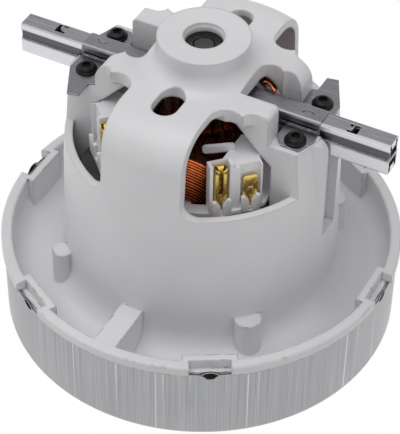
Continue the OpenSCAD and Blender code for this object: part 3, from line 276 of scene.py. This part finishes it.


# metals: stretch pulls the brush lines out along the axis with the smallest number, edge is the
# colour of painted highlights; in mm, the shade band paints shade on upright faces between two
# heights, which elsewhere get a painted highlight, and the shade below paints shade from one height
# down
metalLook = {
    "broad": 30.0, "fine": 700.0, "edging": 900.0, "corner": 0.2, "edgeHighlight": 0.7,
    "lines": (0.32, 0.68), "drift": (0.3, 0.7), "driftShare": 0.35,
    "upright": (0.8, 0.35), "sideHighlightShare": 0.8, "grooveShare": 0.9, "grooveColour": (66, 66, 70),
    "shadeBelowShare": 0.8, "shadeBelowColour": (62, 24, 14),
    "gloss": (0.3, 0.7), "smoother": 0.07, "rougher": 0.09, "depth": 0.05,
}
metals = {
    "shroud": {"dark": (146, 147, 149), "light": (184, 184, 186), "rough": 0.38,
               "stretch": (1, 1, 0.007), "scale": 2900.0, "edge": (228, 228, 230),
               "relief": 0.12, "streak": 0.6},
    "fanSheet": {"dark": (150, 152, 155), "light": (188, 189, 192), "rough": 0.34,
                 "stretch": (1, 1, 0.3), "scale": 1500.0, "edge": (225, 225, 228)},
    "steelAlong": {"dark": (112, 112, 117), "light": (158, 158, 163), "rough": 0.32,
                   "stretch": (0.02, 1, 1), "scale": 2600.0, "edge": (232, 232, 236),
                   "relief": 0.2, "streak": 0.3, "groove": ((88.3, 89.3), (93.0, 92.4))},
    "steelSheet": {"dark": (110, 110, 115), "light": (132, 132, 137), "rough": 0.32,
                   "stretch": (0.08, 1, 1), "scale": 3200.0, "edge": (226, 226, 230),
                   "relief": 0.08, "streak": 0.2},
    "steelRound": {"dark": (130, 131, 135), "light": (170, 171, 174), "rough": 0.3,
                   "stretch": (0.2, 0.2, 1), "scale": 2500.0},
    # painted shade: the shaft and bearings are made dark because they sit in shade in the boss
    "shadedShaftSteel": {"dark": (62, 62, 64), "light": (86, 86, 88), "rough": 0.36,
                   "stretch": (0.2, 0.2, 1), "scale": 2500.0},
    "bearing": {"dark": (48, 48, 50), "light": (72, 72, 74), "rough": 0.34,
                "stretch": (0.3, 0.3, 1), "scale": 2500.0},
    "laminations": {"dark": (56, 56, 60), "light": (92, 92, 96), "rough": 0.45,
                    "stretch": (0.03, 0.03, 1), "scale": 2000.0, "relief": 0.6},
    "copper": {"dark": (196, 86, 38), "light": (248, 148, 88), "rough": 0.2,
               "stretch": (1, 1, 1), "scale": 600.0, "edge": (255, 196, 150), "shadeBelow": (83, 72)},
    # painted shade: copper made dark for the under layer, the cores and the armature wires that lie
    # in shade
    "shadedCopper": {"dark": (36, 18, 13), "light": (82, 40, 28), "rough": 0.34,
                   "stretch": (1, 1, 1), "scale": 500.0},
    "copperBar": {"dark": (104, 52, 34), "light": (156, 88, 60), "rough": 0.3,
                  "stretch": (0.4, 0.4, 1), "scale": 2600.0},
    "brass": {"dark": (214, 182, 96), "light": (236, 211, 130), "rough": 0.24,
              "stretch": (1, 0.2, 1), "scale": 700.0, "edge": (252, 240, 190),
              "relief": 0.04, "streak": 0.2},
    "blackSteel": {"dark": (9, 9, 11), "light": (19, 19, 22), "rough": 0.34,
                   "stretch": (1, 1, 1), "scale": 1500.0, "edge": (60, 60, 64),
                   "relief": 0.2, "streak": 0.2, "metallic": 0.3, "specular": 0.22},
}


def uprightFaces(tree):
    shape = tree.nodes.new("ShaderNodeNewGeometry")
    facing = tree.nodes.new("ShaderNodeSeparateXYZ")
    tree.links.new(shape.outputs["Normal"], facing.inputs["Vector"])
    return spread(tree, maths(tree, "ABSOLUTE", facing.outputs["Z"]), *metalLook["upright"])


def metalMaterial(name, dark, light, rough, stretch, scale, edge=None, relief=0.15, streak=0.35,
                  metallic=1.0, groove=None, shadeBelow=None, specular=0.5):
    look = metalLook
    dark, light = tint(*dark), tint(*light)
    # bright is the colour of painted highlights on edges, and of the brush streaks
    bright = tint(*edge) if edge else light
    material, tree, shader = newMaterial(name)
    brush = useGroup(tree, brushLines, Stretch=stretch, Scale=scale)
    tone = useGroup(tree, toneDrift, Broad=look["broad"], Fine=look["fine"])
    edging = useGroup(tree, edgeMask, Radius=look["corner"] * mm, Breakup=look["edging"])
    base = blendColour(tree, spread(tree, brush.outputs["Lines"], *look["lines"]), dark, light)
    drift = spread(tree, tone.outputs["Drift"], *look["drift"], 0.0, look["driftShare"])
    base = blendColour(tree, drift, base, dark)
    streaks = maths(tree, "MULTIPLY", brush.outputs["Streaks"], streak)
    base = blendColour(tree, streaks, base, bright)
    # painted highlight on upright faces, and painted shade in a band between two heights on them
    if groove:
        upright = uprightFaces(tree)
        inShadeBand = maths(tree, "MULTIPLY", upright, heightBand(tree, *groove))
        lit = maths(tree, "MULTIPLY", upright, look["sideHighlightShare"])
        shaded = maths(tree, "MULTIPLY", inShadeBand, look["grooveShare"])
        base = blendColour(tree, lit, base, bright)
        base = blendColour(tree, shaded, base, tint(*look["grooveColour"]))
    # painted shade: darker downwards between two heights
    if shadeBelow:
        deep = spread(tree, heightOf(tree), shadeBelow[0] * mm, shadeBelow[1] * mm, 0.0, look["shadeBelowShare"])
        base = blendColour(tree, deep, base, tint(*look["shadeBelowColour"]))
    # painted highlight: edges are blended towards the bright colour
    if edge:
        edgeHighlight = maths(tree, "MULTIPLY", edging.outputs["Mask"], look["edgeHighlight"])
        base = blendColour(tree, edgeHighlight, base, bright)
    gloss = (rough - look["smoother"], rough + look["rougher"])
    fine = brush.outputs["Lines"]
    normal = bump(tree, fine, relief, look["depth"] * mm, edging.outputs["Rounded"])
    tree.links.new(base, shader.inputs["Base Color"])
    tree.links.new(spread(tree, fine, *look["gloss"], *gloss), shader.inputs["Roughness"])
    tree.links.new(normal, shader.inputs["Normal"])
    shader.inputs["Metallic"].default_value = metallic
    shader.inputs["Specular IOR Level"].default_value = specular
    return material


finish = {name: plasticMaterial(name, **values) for name, values in plastics.items()}
finish.update({name: metalMaterial(name, **values) for name, values in metals.items()})
print("finishes:", len(finish))

nodeFinish = {
    "whitePlastic": ["motor_housing"],
    "whiteFormer": ["upper_insulator", "lower_insulator"],
    "shroud": ["fan_shroud"],
    "fanSheet": ["fan_back_disc", "fan_front_disc", "fan_blades"],
    "darkPlastic": ["diffuser", "commutator_hub"],
    "steelRound": ["diffuser_screws", "fan_spacer", "fan_washer", "fan_nut",
                   "brush_spring_right", "brush_spring_left"],
    "steelAlong": ["brush_holder_right", "brush_holder_left"],
    "steelSheet": ["brush_clip_right", "brush_clip_left"],
    "shadedShaftSteel": ["shaft"],
    "laminations": ["stator_stack", "armature_core"],
    "copper": ["field_wire_front", "field_wire_back", "brush_leads"],
    "shadedCopper": ["field_core_front", "field_core_back", "armature_winding"],
    "copperBar": ["commutator_bars"],
    "brass": ["winding_contacts", "mains_tabs"],
    "blackSteel": ["clip_screws"],
    "carbon": ["carbon_right", "carbon_left"],
    "bearing": ["lower_bearing_outer", "lower_bearing_inner", "lower_bearing_balls",
                "upper_bearing_outer", "upper_bearing_inner", "upper_bearing_balls"],
    "cage": ["lower_bearing_cage", "upper_bearing_cage"],
    "rubber": ["lower_bearing_seals", "upper_bearing_seals", "upper_bearing_damper"],
}
for label, names in nodeFinish.items():
    for name in names:
        nodes[name].data.materials.clear()
        nodes[name].data.materials.append(finish[label])
assert set(sum(nodeFinish.values(), [])) == set(nodes)  # none is left without


def keep(name, mesh, material, body):
    mesh.materials.clear()
    mesh.materials.append(finish[material])
    mesh.polygons.foreach_set("use_smooth", [True] * len(mesh.polygons))
    piece = bpy.data.objects.new(name, mesh)
    bpy.context.scene.collection.objects.link(piece)
    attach(piece, body)
    return piece


def meshOf(work, name):
    mesh = bpy.data.meshes.new(name)
    work.to_mesh(mesh)
    work.free()
    return mesh


# a curve as a mesh, the curve itself removed
def meshOfCurve(curve, name):
    holder = bpy.data.objects.new(name + "Curve", curve)
    mesh = bpy.data.meshes.new_from_object(holder)
    mesh.name = name
    bpy.data.objects.remove(holder)
    return mesh


# round wires along lists of points, as one mesh
def wirePiece(name, paths, radius, material, body, rounds=2):
    curve = bpy.data.curves.new(name, "CURVE")
    curve.dimensions = "3D"
    curve.bevel_depth = radius
    curve.bevel_resolution = rounds
    curve.use_fill_caps = True
    curve.resolution_u = 1
    for path in paths:
        spline = curve.splines.new("POLY")
        spline.points.add(len(path) - 1)
        for point, place in zip(spline.points, path):
            point.co = (*place, 1)
    return keep(name, meshOfCurve(curve, name), material, body)


# sharp shading where faces meet at more than the angle
def creases(piece, angle):
    work = bmesh.new()
    work.from_mesh(piece.data)
    for edge in work.edges:
        edge.smooth = edge.calc_face_angle(0) < math.radians(angle)
    work.to_mesh(piece.data)
    work.free()


# a place given by its distance from the axis in mm, its angle in radians and its height in mm
def roundPlace(radius, angle, up):
    return Vector((radius * math.cos(angle), radius * math.sin(angle), up)) * mm


# a path turned half round for the other side of the object
def halfTurned(path, flip):
    return [Vector((p.x * flip, p.y * flip, p.z)) for p in path]


# field coils: squarish turns that widen upwards, and a layer painted dark as shade seen between
# them
coil = {
    "radius": 30.6, "turns": 15, "wire": 0.36, "middle": 51.0, "points": 56,
    "angles": (33.6, 57.0), "tops": (71.5, 89.3), "feet": (30.5, 19.4),
    "square": 2.9, "squareLoss": 0.75, "drift": 0.26, "driftOut": 0.5,
    "facing": -90, "underDepth": 0.62, "underShift": 0.9,
}


def coilPoint(turn, radius, shift):
    share = turn / coil["turns"]

    def between(pair):
        return pair[0] + (pair[1] - pair[0]) * share

    power = 2 / (coil["square"] - coil["squareLoss"] * share)
    c, s = math.cos(math.tau * turn), math.sin(math.tau * turn)
    c, s = math.copysign(abs(c) ** power, c), math.copysign(abs(s) ** power, s)
    angle = math.radians(coil["facing"] + (between(coil["angles"]) + shift) * c)
    end = between(coil["tops"]) if s > 0 else between(coil["feet"])
    return roundPlace(radius, angle, coil["middle"] + abs(end - coil["middle"]) * s)


def coilPath(radius, shift):
    drift = [random.uniform(-coil["drift"], coil["drift"]) for _ in range(coil["turns"] + 1)]
    path = []
    for index in range(coil["turns"] * coil["points"] + 1):
        turn = index / coil["points"]
        off = drift[int(turn)]
        path.append(coilPoint(turn, radius + off * coil["driftOut"], shift + off))
    return path


underPath = coilPath(coil["radius"] - coil["underDepth"], coil["underShift"])
outerPath = coilPath(coil["radius"], 0.0)
for side, flip in (("front", 1), ("back", -1)):
    for label, path, material in (("coilUnder", underPath, "shadedCopper"),
                                  ("coilTurns", outerPath, "copper")):
        piece = wirePiece(label + side.title(), [halfTurned(path, flip)], coil["wire"] * mm,
                          material, "housing")
        if label == "coilTurns":
            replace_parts(piece, "field_wire_" + side)
print("coils wound")

# armature: strands that cross over the winding head, each a chord between two slots
armature = {
    "slots": 22, "span": 9, "strands": 4, "wire": 0.36, "steps": 28,
    "radius": 17.6, "foot": 68.6, "gap": 0.22, "shorter": 0.5,
    "lift": 0.25, "layers": 5, "layerStep": 3, "layerLift": 0.5, "hub": 6.2,
    "profile": ((18.0, 68.6), (18.1, 73.2), (16.9, 76.2), (12.6, 80.8), (5.6, 80.9)),
}


def headHeight(radius):
    profile = armature["profile"]
    for (r0, z0), (r1, z1) in zip(profile, profile[1:]):
        if r1 <= radius <= r0:
            return z0 + (z1 - z0) * (r0 - radius) / (r0 - r1)
    return profile[0][1] if radius > profile[0][0] else profile[-1][1]


def strandPath(slot, strand):
    slots, steps = armature["slots"], armature["steps"]
    offset = armature["gap"] * (strand - (armature["strands"] - 1) / 2)
    start = math.tau * (slot + 0.5 + offset) / slots
    end = start + math.tau * (armature["span"] - armature["shorter"] * strand) / slots
    a = Vector((math.cos(start), math.sin(start))) * armature["radius"]
    b = Vector((math.cos(end), math.sin(end))) * armature["radius"]
    order = slot * armature["strands"] + strand * armature["layerStep"]
    layer = order % armature["layers"]  # wires cross over
    lift = armature["lift"] + armature["layerLift"] * layer / armature["layers"]
    path = [Vector((a.x, a.y, armature["foot"])) * mm]
    for step in range(1, steps):
        p = a.lerp(b, step / steps)
        path.append(Vector((p.x, p.y, headHeight(max(p.length, armature["hub"])) + lift)) * mm)
    path.append(Vector((b.x, b.y, armature["foot"])) * mm)
    return path


strands = [strandPath(slot, strand) for slot in range(armature["slots"])
           for strand in range(armature["strands"])]
wirePiece("armatureStrands", strands, armature["wire"] * mm, "shadedCopper", "rotor",
          rounds=1)

# wires from the winding head up to the commutator bars: radius, height, turned back in radians
riser = {"wire": 0.4, "route": ((13.4, 83.4, 0), (14.2, 82.2, 0), (14.9, 79.6, 0.12),
                                (17.0, 76.6, 0.22))}
risers = []
for slot in range(armature["slots"]):
    angle = math.tau * (slot + 0.5) / armature["slots"]
    risers.append([roundPlace(radius, angle - back, up) for radius, up, back in riser["route"]])
wirePiece("riserWires", risers, riser["wire"] * mm, "shadedCopper", "rotor",
          rounds=1)
print("armature strands laid")

# clip screws: the outline is turned from the shank's tip to the floor of the six-sided socket
screw = {
    "x": 37.0, "y": 10.0, "seat": 91.32, "steps": 36, "crease": 40,
    "socket": (0.1, 1.61), "socketFloor": 0.9,
    "outline": [(0, -15), (0.9, -14.4), (1.5, -13.2), (1.5, 0), (3.36, 0), (3.5, 0.14),
                (3.5, 0.42), (3.38, 0.56), (3.16, 0.6), (3.08, 0.95), (2.86, 1.36),
                (2.5, 1.68), (2.1, 1.88), (1.78, 1.96), (1.6, 1.9), (1.6, 1.0), (0, 0.95)],
}


def turned(outline, steps):
    work = bmesh.new()
    rim = [work.verts.new((x * mm, 0, z * mm)) for x, z in outline]
    line = [work.edges.new(pair) for pair in zip(rim, rim[1:])]
    bmesh.ops.spin(work, geom=rim + line, cent=(0, 0, 0), axis=(0, 0, 1), angle=math.tau,
                   steps=steps, use_merge=True)
    bmesh.ops.remove_doubles(work, verts=work.verts, dist=samePlace)
    bmesh.ops.recalc_face_normals(work, faces=work.faces)
    return work


def cutSocket(work):
    sixth = math.radians(60)
    middle, wall = screw["socket"]
    for vert in work.verts:
        flat = math.hypot(vert.co.x, vert.co.y)
        raised = vert.co.z > screw["socketFloor"] * mm
        if raised and middle * mm < flat < wall * mm:
            angle = math.atan2(vert.co.y, vert.co.x) % sixth - sixth / 2
            vert.co.xy *= math.cos(sixth / 2) / math.cos(angle)


def screwMesh(sx, sy):
    work = turned(screw["outline"], screw["steps"])
    cutSocket(work)
    stop = Matrix.Rotation(random.uniform(0, 1), 3, "Z")  # screws stop where they are tight
    place = Vector((sx * screw["x"], sy * screw["y"], screw["seat"])) * mm
    bmesh.ops.rotate(work, verts=work.verts, cent=(0, 0, 0), matrix=stop)
    bmesh.ops.translate(work, verts=work.verts, vec=place)
    return meshOf(work, "oneScrew")


def joined(name, meshes, material, body, angle=35):
    whole = bmesh.new()
    for mesh in meshes:
        whole.from_mesh(mesh)
        bpy.data.meshes.remove(mesh)
    piece = keep(name, meshOf(whole, name), material, body)
    creases(piece, angle)
    return piece


screws = [screwMesh(sx, sy) for sx in sides for sy in sides]
piece = joined("clipScrewHeads", screws, "blackSteel", "housing", screw["crease"])
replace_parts(piece, "clip_screws")
print("screws done")

# white sleeves over the lower part of the brush leads, along the same route
lead = {"sleeve": 0.85, "steps": 6,
        "route": [(17, 19, 82.2), (17, 17, 84.2), (16.8, 14, 87), (16.8, 11, 90)]}


# a smooth curve through the points
def smoothRoute(points, steps):
    last = len(points) - 1
    path = []
    for i in range(last):
        p0, p1, p2, p3 = (Vector(points[max(0, min(last, j))]) for j in (i - 1, i, i + 1, i + 2))
        for step in range(steps):
            t = step / steps
            bend = (2 * p0 - 5 * p1 + 4 * p2 - p3) * t * t + (3 * p1 - p0 - 3 * p2 + p3) * t ** 3
            path.append(0.5 * ((2 * p1) + (p2 - p0) * t + bend))
    path.append(Vector(points[-1]))
    return path


for name, flip in (("Right", 1), ("Left", -1)):
    path = [p * mm for p in halfTurned(smoothRoute(lead["route"], lead["steps"]), flip)]
    wirePiece("leadSleeve" + name, [path], lead["sleeve"] * mm, "whiteFormer", "housing")
print("leads sleeved")


# flat parts in mm: an outline with holes, given a thickness and fine rounded edges
def sheetMesh(name, outline, holes, thickness, edge):
    curve = bpy.data.curves.new(name, "CURVE")
    curve.dimensions = "2D"
    curve.fill_mode = "BOTH"
    curve.extrude = thickness * mm / 2 - edge * mm
    curve.bevel_depth = edge * mm
    curve.bevel_resolution = 1
    curve.offset = -edge * mm
    for path in [outline] + holes:
        spline = curve.splines.new("POLY")
        spline.use_cyclic_u = True
        spline.points.add(len(path) - 1)
        for point, (x, y) in zip(spline.points, path):
            point.co = (x * mm, y * mm, 0, 1)
    return meshOfCurve(curve, name)


def arcPoints(x, y, radius, start, end, steps):
    turns = [math.radians(start + (end - start) * step / steps) for step in range(steps + 1)]
    return [(x + radius * math.cos(turn), y + radius * math.sin(turn)) for turn in turns]


def ringPoints(x, y, radius, count):
    return arcPoints(x, y, radius, 0, 360 - 360 / count, count - 1)


# the insulator's corner blocks: out is away from the block, along is across it, up is height
blockTurn = math.radians(-45.5)


def onBlock(sx, sy, out, along, up):
    x = out * math.cos(blockTurn) - along * math.sin(blockTurn)
    y = out * math.sin(blockTurn) + along * math.cos(blockTurn)
    return Vector((x * sx, -y * sy, up)) * mm


def layOnBlock(mesh, sx, sy, out, along):
    for vert in mesh.vertices:
        x, y, z = vert.co / mm
        vert.co = onBlock(sx, sy, out + z, along + x, y)
    work = bmesh.new()
    work.from_mesh(mesh)
    bmesh.ops.remove_doubles(work, verts=work.verts, dist=samePlace)
    bmesh.ops.recalc_face_normals(work, faces=work.faces)
    work.to_mesh(mesh)
    work.free()
    return mesh


# flat tab for the mains lead: round hole, short slit, neck down to a narrow foot
tab = {
    "along": 4.7, "out": 34.5, "half": 2.4, "low": 71.5, "top": 82.0, "foot": 69.8,
    "thick": 0.8, "edge": 0.08, "corner": 0.9, "footHalf": 0.6, "neckHalf": 1.2,
    "shoulders": (0.2, 1.0, 2.0), "hole": 0.75, "holeUp": 78.2, "slit": (2.9, 5.0), "slitHalf": 0.2,
    "cornerSteps": 5, "holeSteps": 16, "slitSteps": 4,
}


def tabMesh():
    low, half, corner = tab["low"], tab["half"], tab["corner"]
    widths = (tab["footHalf"], tab["neckHalf"], half)
    edge = [(x, low + up) for x, up in zip(widths, tab["shoulders"])]
    edge = [(tab["footHalf"], tab["foot"])] + edge
    inner, under = half - corner, tab["top"] - corner
    steps, slitHalf, slitSteps = tab["cornerSteps"], tab["slitHalf"], tab["slitSteps"]
    outline = edge + arcPoints(inner, under, corner, 0, 90, steps)
    outline += arcPoints(-inner, under, corner, 90, 180, steps)
    outline += [(-x, up) for x, up in edge[::-1]]
    hole = ringPoints(0, tab["holeUp"], tab["hole"], tab["holeSteps"])
    slit = arcPoints(0, low + tab["slit"][1], slitHalf, 0, 180, slitSteps)
    slit += arcPoints(0, low + tab["slit"][0], slitHalf, 180, 360, slitSteps)
    return sheetMesh("tab", outline, [hole, slit], tab["thick"], tab["edge"])


tabs = [layOnBlock(tabMesh(), sx, -sx, tab["out"], tab["along"]) for sx in sides]
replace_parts(joined("mainsTabPlates", tabs, "brass", "housing"), "mains_tabs")

# folded contact: a sheet bent to a box that is open at the front, a rail folded over from
# the back, and a narrow foot; plan is (along, out) from one front lip round to the other,
# rail and feet are (out, up, width)
contact = {
    "along": -4.75, "levels": (74.0, 74.6, 79.2, 84.0, 85.0, 86.7), "sheet": 0.38,
    "plan": [(-0.55, 34.2), (-0.85, 34.7), (-1.75, 34.72), (-2.12, 34.35), (-2.2, 33.4),
             (-2.12, 32.55), (-1.8, 32.3), (0, 32.3), (1.8, 32.3), (2.12, 32.55), (2.2, 33.4),
             (2.12, 34.35), (1.75, 34.72), (0.85, 34.7), (0.55, 34.2)],
    "lips": 2, "lipDrop": 1.1, "flared": 4, "flare": 0.5,
    "railSheet": 0.35,
    "rail": [(32.4, 86.4, 3.4), (32.9, 87.1, 3.0), (33.7, 87.15, 2.2), (34.2, 86.6, 1.8),
             (34.15, 85.6, 1.4), (33.6, 84.0, 1.2), (33.3, 80.0, 1.2), (33.3, 77.0, 1.2)],
    "footSheet": 0.45,
    "feet": [(34.0, 75.6, 3.6), (34.0, 74.6, 3.6), (34.0, 73.4, 2.4), (34.0, 72.6, 1.1),
             (34.0, 69.8, 1.1)],
}


# rows of points bridged to a sheet, which then gets its thickness in mm
def sheetOfRows(work, rows, thickness, name):
    chains = [[work.edges.new(pair) for pair in zip(row, row[1:])] for row in rows]
    for low, high in zip(chains, chains[1:]):
        bmesh.ops.bridge_loops(work, edges=low + high)
    bmesh.ops.recalc_face_normals(work, faces=work.faces)
    bmesh.ops.solidify(work, geom=work.faces[:], thickness=thickness * mm)
    return meshOf(work, name)


def foldedBox(sx, sy):
    work = bmesh.new()
    plan, levels = contact["plan"], contact["levels"]
    rows = []
    for height in levels:
        row = []
        for index, (along, out) in enumerate(plan):
            lip = min(index, len(plan) - 1 - index)
            atTop = height == levels[-1]
            inward = max(0, contact["lips"] - lip)
            drop = contact["lipDrop"] * inward if atTop else 0
            flare = contact["flare"] if atTop and lip < contact["flared"] else 0
            place = onBlock(sx, sy, out + flare, contact["along"] + along, height - drop)
            row.append(work.verts.new(place))
        rows.append(row)
    return sheetOfRows(work, rows, contact["sheet"], "foldedBox")


# strip of sheet along a line of (out, up, width)
def stripMesh(sx, sy, line, thickness):
    work = bmesh.new()
    rows = []
    for out, up, width in line:
        across = [contact["along"] + half * width / 2 for half in (-1, 0, 1)]
        rows.append([work.verts.new(onBlock(sx, sy, out, along, up)) for along in across])
    return sheetOfRows(work, rows, thickness, "strip")


contacts = []
for sx in sides:
    for sy in sides:
        contacts.append(foldedBox(sx, sy))
        contacts.append(stripMesh(sx, sy, contact["rail"], contact["railSheet"]))
        contacts.append(stripMesh(sx, sy, contact["feet"], contact["footSheet"]))
piece = joined("windingContactBoxes", contacts, "brass", "housing")
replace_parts(piece, "winding_contacts")
print("contacts folded")

# white jaws in front of the feet of the contacts and the tabs, each with a throat in its top edge
jaw = {"half": 3.1, "low": 68.2, "top": 74.6, "out": 35.45, "thick": 1.3, "edge": 0.16,
       "chamfer": 0.4, "throat": 1.9, "throatDeep": 2.2, "neck": 0.5}


def jawMesh():
    half, top, cut = jaw["half"], jaw["top"], jaw["chamfer"]
    right = [(half, jaw["low"]), (half, top - cut), (half - cut, top), (jaw["throat"], top),
             (jaw["neck"], top - jaw["throatDeep"]), (jaw["neck"], jaw["low"] + cut)]
    outline = right + [(-x, up) for x, up in right[::-1]]
    return sheetMesh("jaw", outline, [], jaw["thick"], jaw["edge"])


jaws = []
for sx in sides:
    for sy in sides:
        for along in (contact["along"], tab["along"]):
            jaws.append(layOnBlock(jawMesh(), sx, sy, jaw["out"], along))
joined("contactJaws", jaws, "whiteFormer", "housing")
print("jaws set")

# crimps under the notches of the rim: the sheet is lanced and pushed in, with a bright lip
# arched over a mouth painted dark as shade, and a fine seam (along, up) painted dark as shade that
# runs out to both sides
crimp = {
    "count": 6, "radius": 66.86, "half": 2.6, "steps": 14, "bow": 0.8,
    "low": 27.4, "ends": 28.6, "top": 30.1, "mouthThick": 0.1, "mouthEdge": 0.02,
    "lip": 0.2, "lipWide": 1.18, "lipOut": 0.05, "lipUp": 0.12,
    "seam": 0.13, "seamIn": 0.12,
    "seamLine": ((6.6, 29.12), (5.4, 29.12), (4.2, 29.12), (3.4, 29.12), (2.7, 29.5),
                 (1.9, 30.1), (0, 30.55)),
}


def onRound(angle, radius, along, up):
    return roundPlace(radius, math.radians(angle) + along / radius, up)


def crimpPieces():
    mouths, lips, seams = [], [], []
    half, ends, radius = crimp["half"], crimp["ends"], crimp["radius"]
    run = [half * (2 * step / crimp["steps"] - 1) for step in range(crimp["steps"] + 1)]
    arch = [math.cos(x / half * math.pi / 2) for x in run]
    over = [(x, ends + (crimp["top"] - ends) * max(0, rise) ** crimp["bow"])
            for x, rise in zip(run, arch)]
    under = [(x, ends - (ends - crimp["low"]) * rise) for x, rise in zip(run, arch)]
    outline = over + under[-2:0:-1]
    for index in range(crimp["count"]):
        angle = 360 / crimp["count"] * index
        mesh = sheetMesh("mouth", outline, [], crimp["mouthThick"], crimp["mouthEdge"])
        for vert in mesh.vertices:
            x, y, z = vert.co / mm
            vert.co = onRound(angle, radius + z, x, y)
        mouths.append(mesh)
        lips.append([onRound(angle, radius + crimp["lipOut"], x * crimp["lipWide"],
                             up + crimp["lipUp"]) for x, up in over])
        for side in sides:
            seams.append([onRound(angle, radius - crimp["seamIn"], side * x, up)
                          for x, up in crimp["seamLine"]])
    joined("crimpMouthShade", mouths, "paintedShade", "housing")
    wirePiece("crimpLips", lips, crimp["lip"] * mm, "steelRound", "housing")
    wirePiece("crimpSeamShade", seams, crimp["seam"] * mm, "paintedShade", "housing",
              rounds=1)


crimpPieces()
print("crimps pressed")

# camera as in the photograph: angles in degrees, lengths in metres, lens in mm
shot = {"azimuth": 27.0, "elevation": 42.78, "roll": 0.85, "distance": 0.63206,
        "target": (-0.00043, -0.00022, 0.03485), "lens": 155.2, "sensor": 36,
        "near": 0.01, "far": 20}


def placeCamera():
    a, e = math.radians(shot["azimuth"]), math.radians(shot["elevation"])
    back = Vector((math.sin(a) * math.cos(e), -math.cos(a) * math.cos(e), math.sin(e)))
    data = bpy.data.cameras.new("camera")
    data.sensor_fit = "AUTO"
    data.sensor_width = shot["sensor"]
    data.lens = shot["lens"]
    data.clip_start, data.clip_end = shot["near"], shot["far"]
    camera = bpy.data.objects.new("camera", data)
    camera.location = Vector(shot["target"]) + back * shot["distance"]
    camera.rotation_mode = "QUATERNION"
    turn = Quaternion((0, 0, 1), math.radians(shot["roll"]))
    camera.rotation_quaternion = (-back).to_track_quat("-Z", "Y") @ turn
    bpy.context.scene.collection.objects.link(camera)
    bpy.context.scene.camera = camera


# soft lamps, in metres and watts
lamps = {
    "topLamp": {"place": (-0.1, -0.24, 1.0), "aim": (0, 0, 0.05),
                "size": (0.85, 0.85), "power": 4.5},
    "rightLamp": {"place": (0.8, 0.1, 0.7), "aim": (0, 0, 0.03),
                  "size": (0.6, 0.6), "power": 1.5},
    "leftLamp": {"place": (-0.8, -0.25, 0.55), "aim": (0, 0, 0.05),
                 "size": (0.5, 0.7), "power": 1.3},
    "frontLamp": {"place": (0.1, -0.95, 0.6), "aim": (0, 0, 0.05),
                  "size": (0.7, 0.5), "power": 0.3},
}


def softLamp(name, place, aim, size, power):
    data = bpy.data.lights.new(name, "AREA")
    data.shape = "RECTANGLE"
    data.size, data.size_y = size
    data.energy = power
    lamp = bpy.data.objects.new(name, data)
    lamp.location = place
    lamp.rotation_mode = "QUATERNION"
    lamp.rotation_quaternion = (Vector(aim) - Vector(place)).to_track_quat("-Z", "Y")
    bpy.context.scene.collection.objects.link(lamp)


# sky and floor light the object plainly, and show as white to the eye and in mirrors
studio = {
    "world": 0.31, "worldColour": (0.98, 0.99, 1, 1), "shown": 1.0, "white": (1, 1, 1, 1),
    "floorTone": 0.85, "floorRough": 0.9, "floorShow": 0.986, "floorHalf": 3, "floorUp": -0.0002,
}


# rays from the eye, from mirrors and through glass
def seenRays(tree):
    rays = tree.nodes.new("ShaderNodeLightPath").outputs
    first = maths(tree, "MAXIMUM", rays["Is Camera Ray"], rays["Is Glossy Ray"])
    return maths(tree, "MAXIMUM", first, rays["Is Transmission Ray"])


def mixShaders(tree, factor, first, second, out):
    mixed = tree.nodes.new("ShaderNodeMixShader")
    tree.links.new(factor, mixed.inputs["Fac"])
    tree.links.new(first, mixed.inputs[1])
    tree.links.new(second, mixed.inputs[2])
    tree.links.new(mixed.outputs["Shader"], out)


def placeWorld():
    world = bpy.data.worlds.new("studio")
    bpy.context.scene.world = world
    world.use_nodes = True
    tree = world.node_tree
    tree.nodes.clear()
    out = tree.nodes.new("ShaderNodeOutputWorld")
    skies = []
    for colour, strength in ((studio["worldColour"], studio["world"]),
                             (studio["white"], studio["shown"])):
        sky = tree.nodes.new("ShaderNodeBackground")
        sky.inputs["Color"].default_value = colour
        sky.inputs["Strength"].default_value = strength
        skies.append(sky.outputs["Background"])
    mixShaders(tree, seenRays(tree), *skies, out.inputs["Surface"])


def placeFloor():
    work = bmesh.new()
    bmesh.ops.create_grid(work, x_segments=1, y_segments=1, size=studio["floorHalf"])
    bmesh.ops.translate(work, verts=work.verts, vec=(0, 0, studio["floorUp"]))
    mesh = meshOf(work, "studioFloor")
    material, tree, shader = newMaterial("studioFloor")
    shader.inputs["Base Color"].default_value = (studio["floorTone"],) * 3 + (1,)
    shader.inputs["Roughness"].default_value = studio["floorRough"]
    glow = tree.nodes.new("ShaderNodeEmission")
    glow.inputs["Color"].default_value = studio["white"]
    seen = maths(tree, "MULTIPLY", seenRays(tree), studio["floorShow"])
    out = tree.nodes["Material Output"].inputs["Surface"]
    mixShaders(tree, seen, shader.outputs["BSDF"], glow.outputs["Emission"], out)
    mesh.materials.append(material)
    floor = bpy.data.objects.new("studioFloor", mesh)
    bpy.context.scene.collection.objects.link(floor)


placeCamera()
placeWorld()
placeFloor()
for name, values in lamps.items():
    softLamp(name, **values)
bpy.context.scene.view_settings.view_transform = "Standard"
print("scene ready")
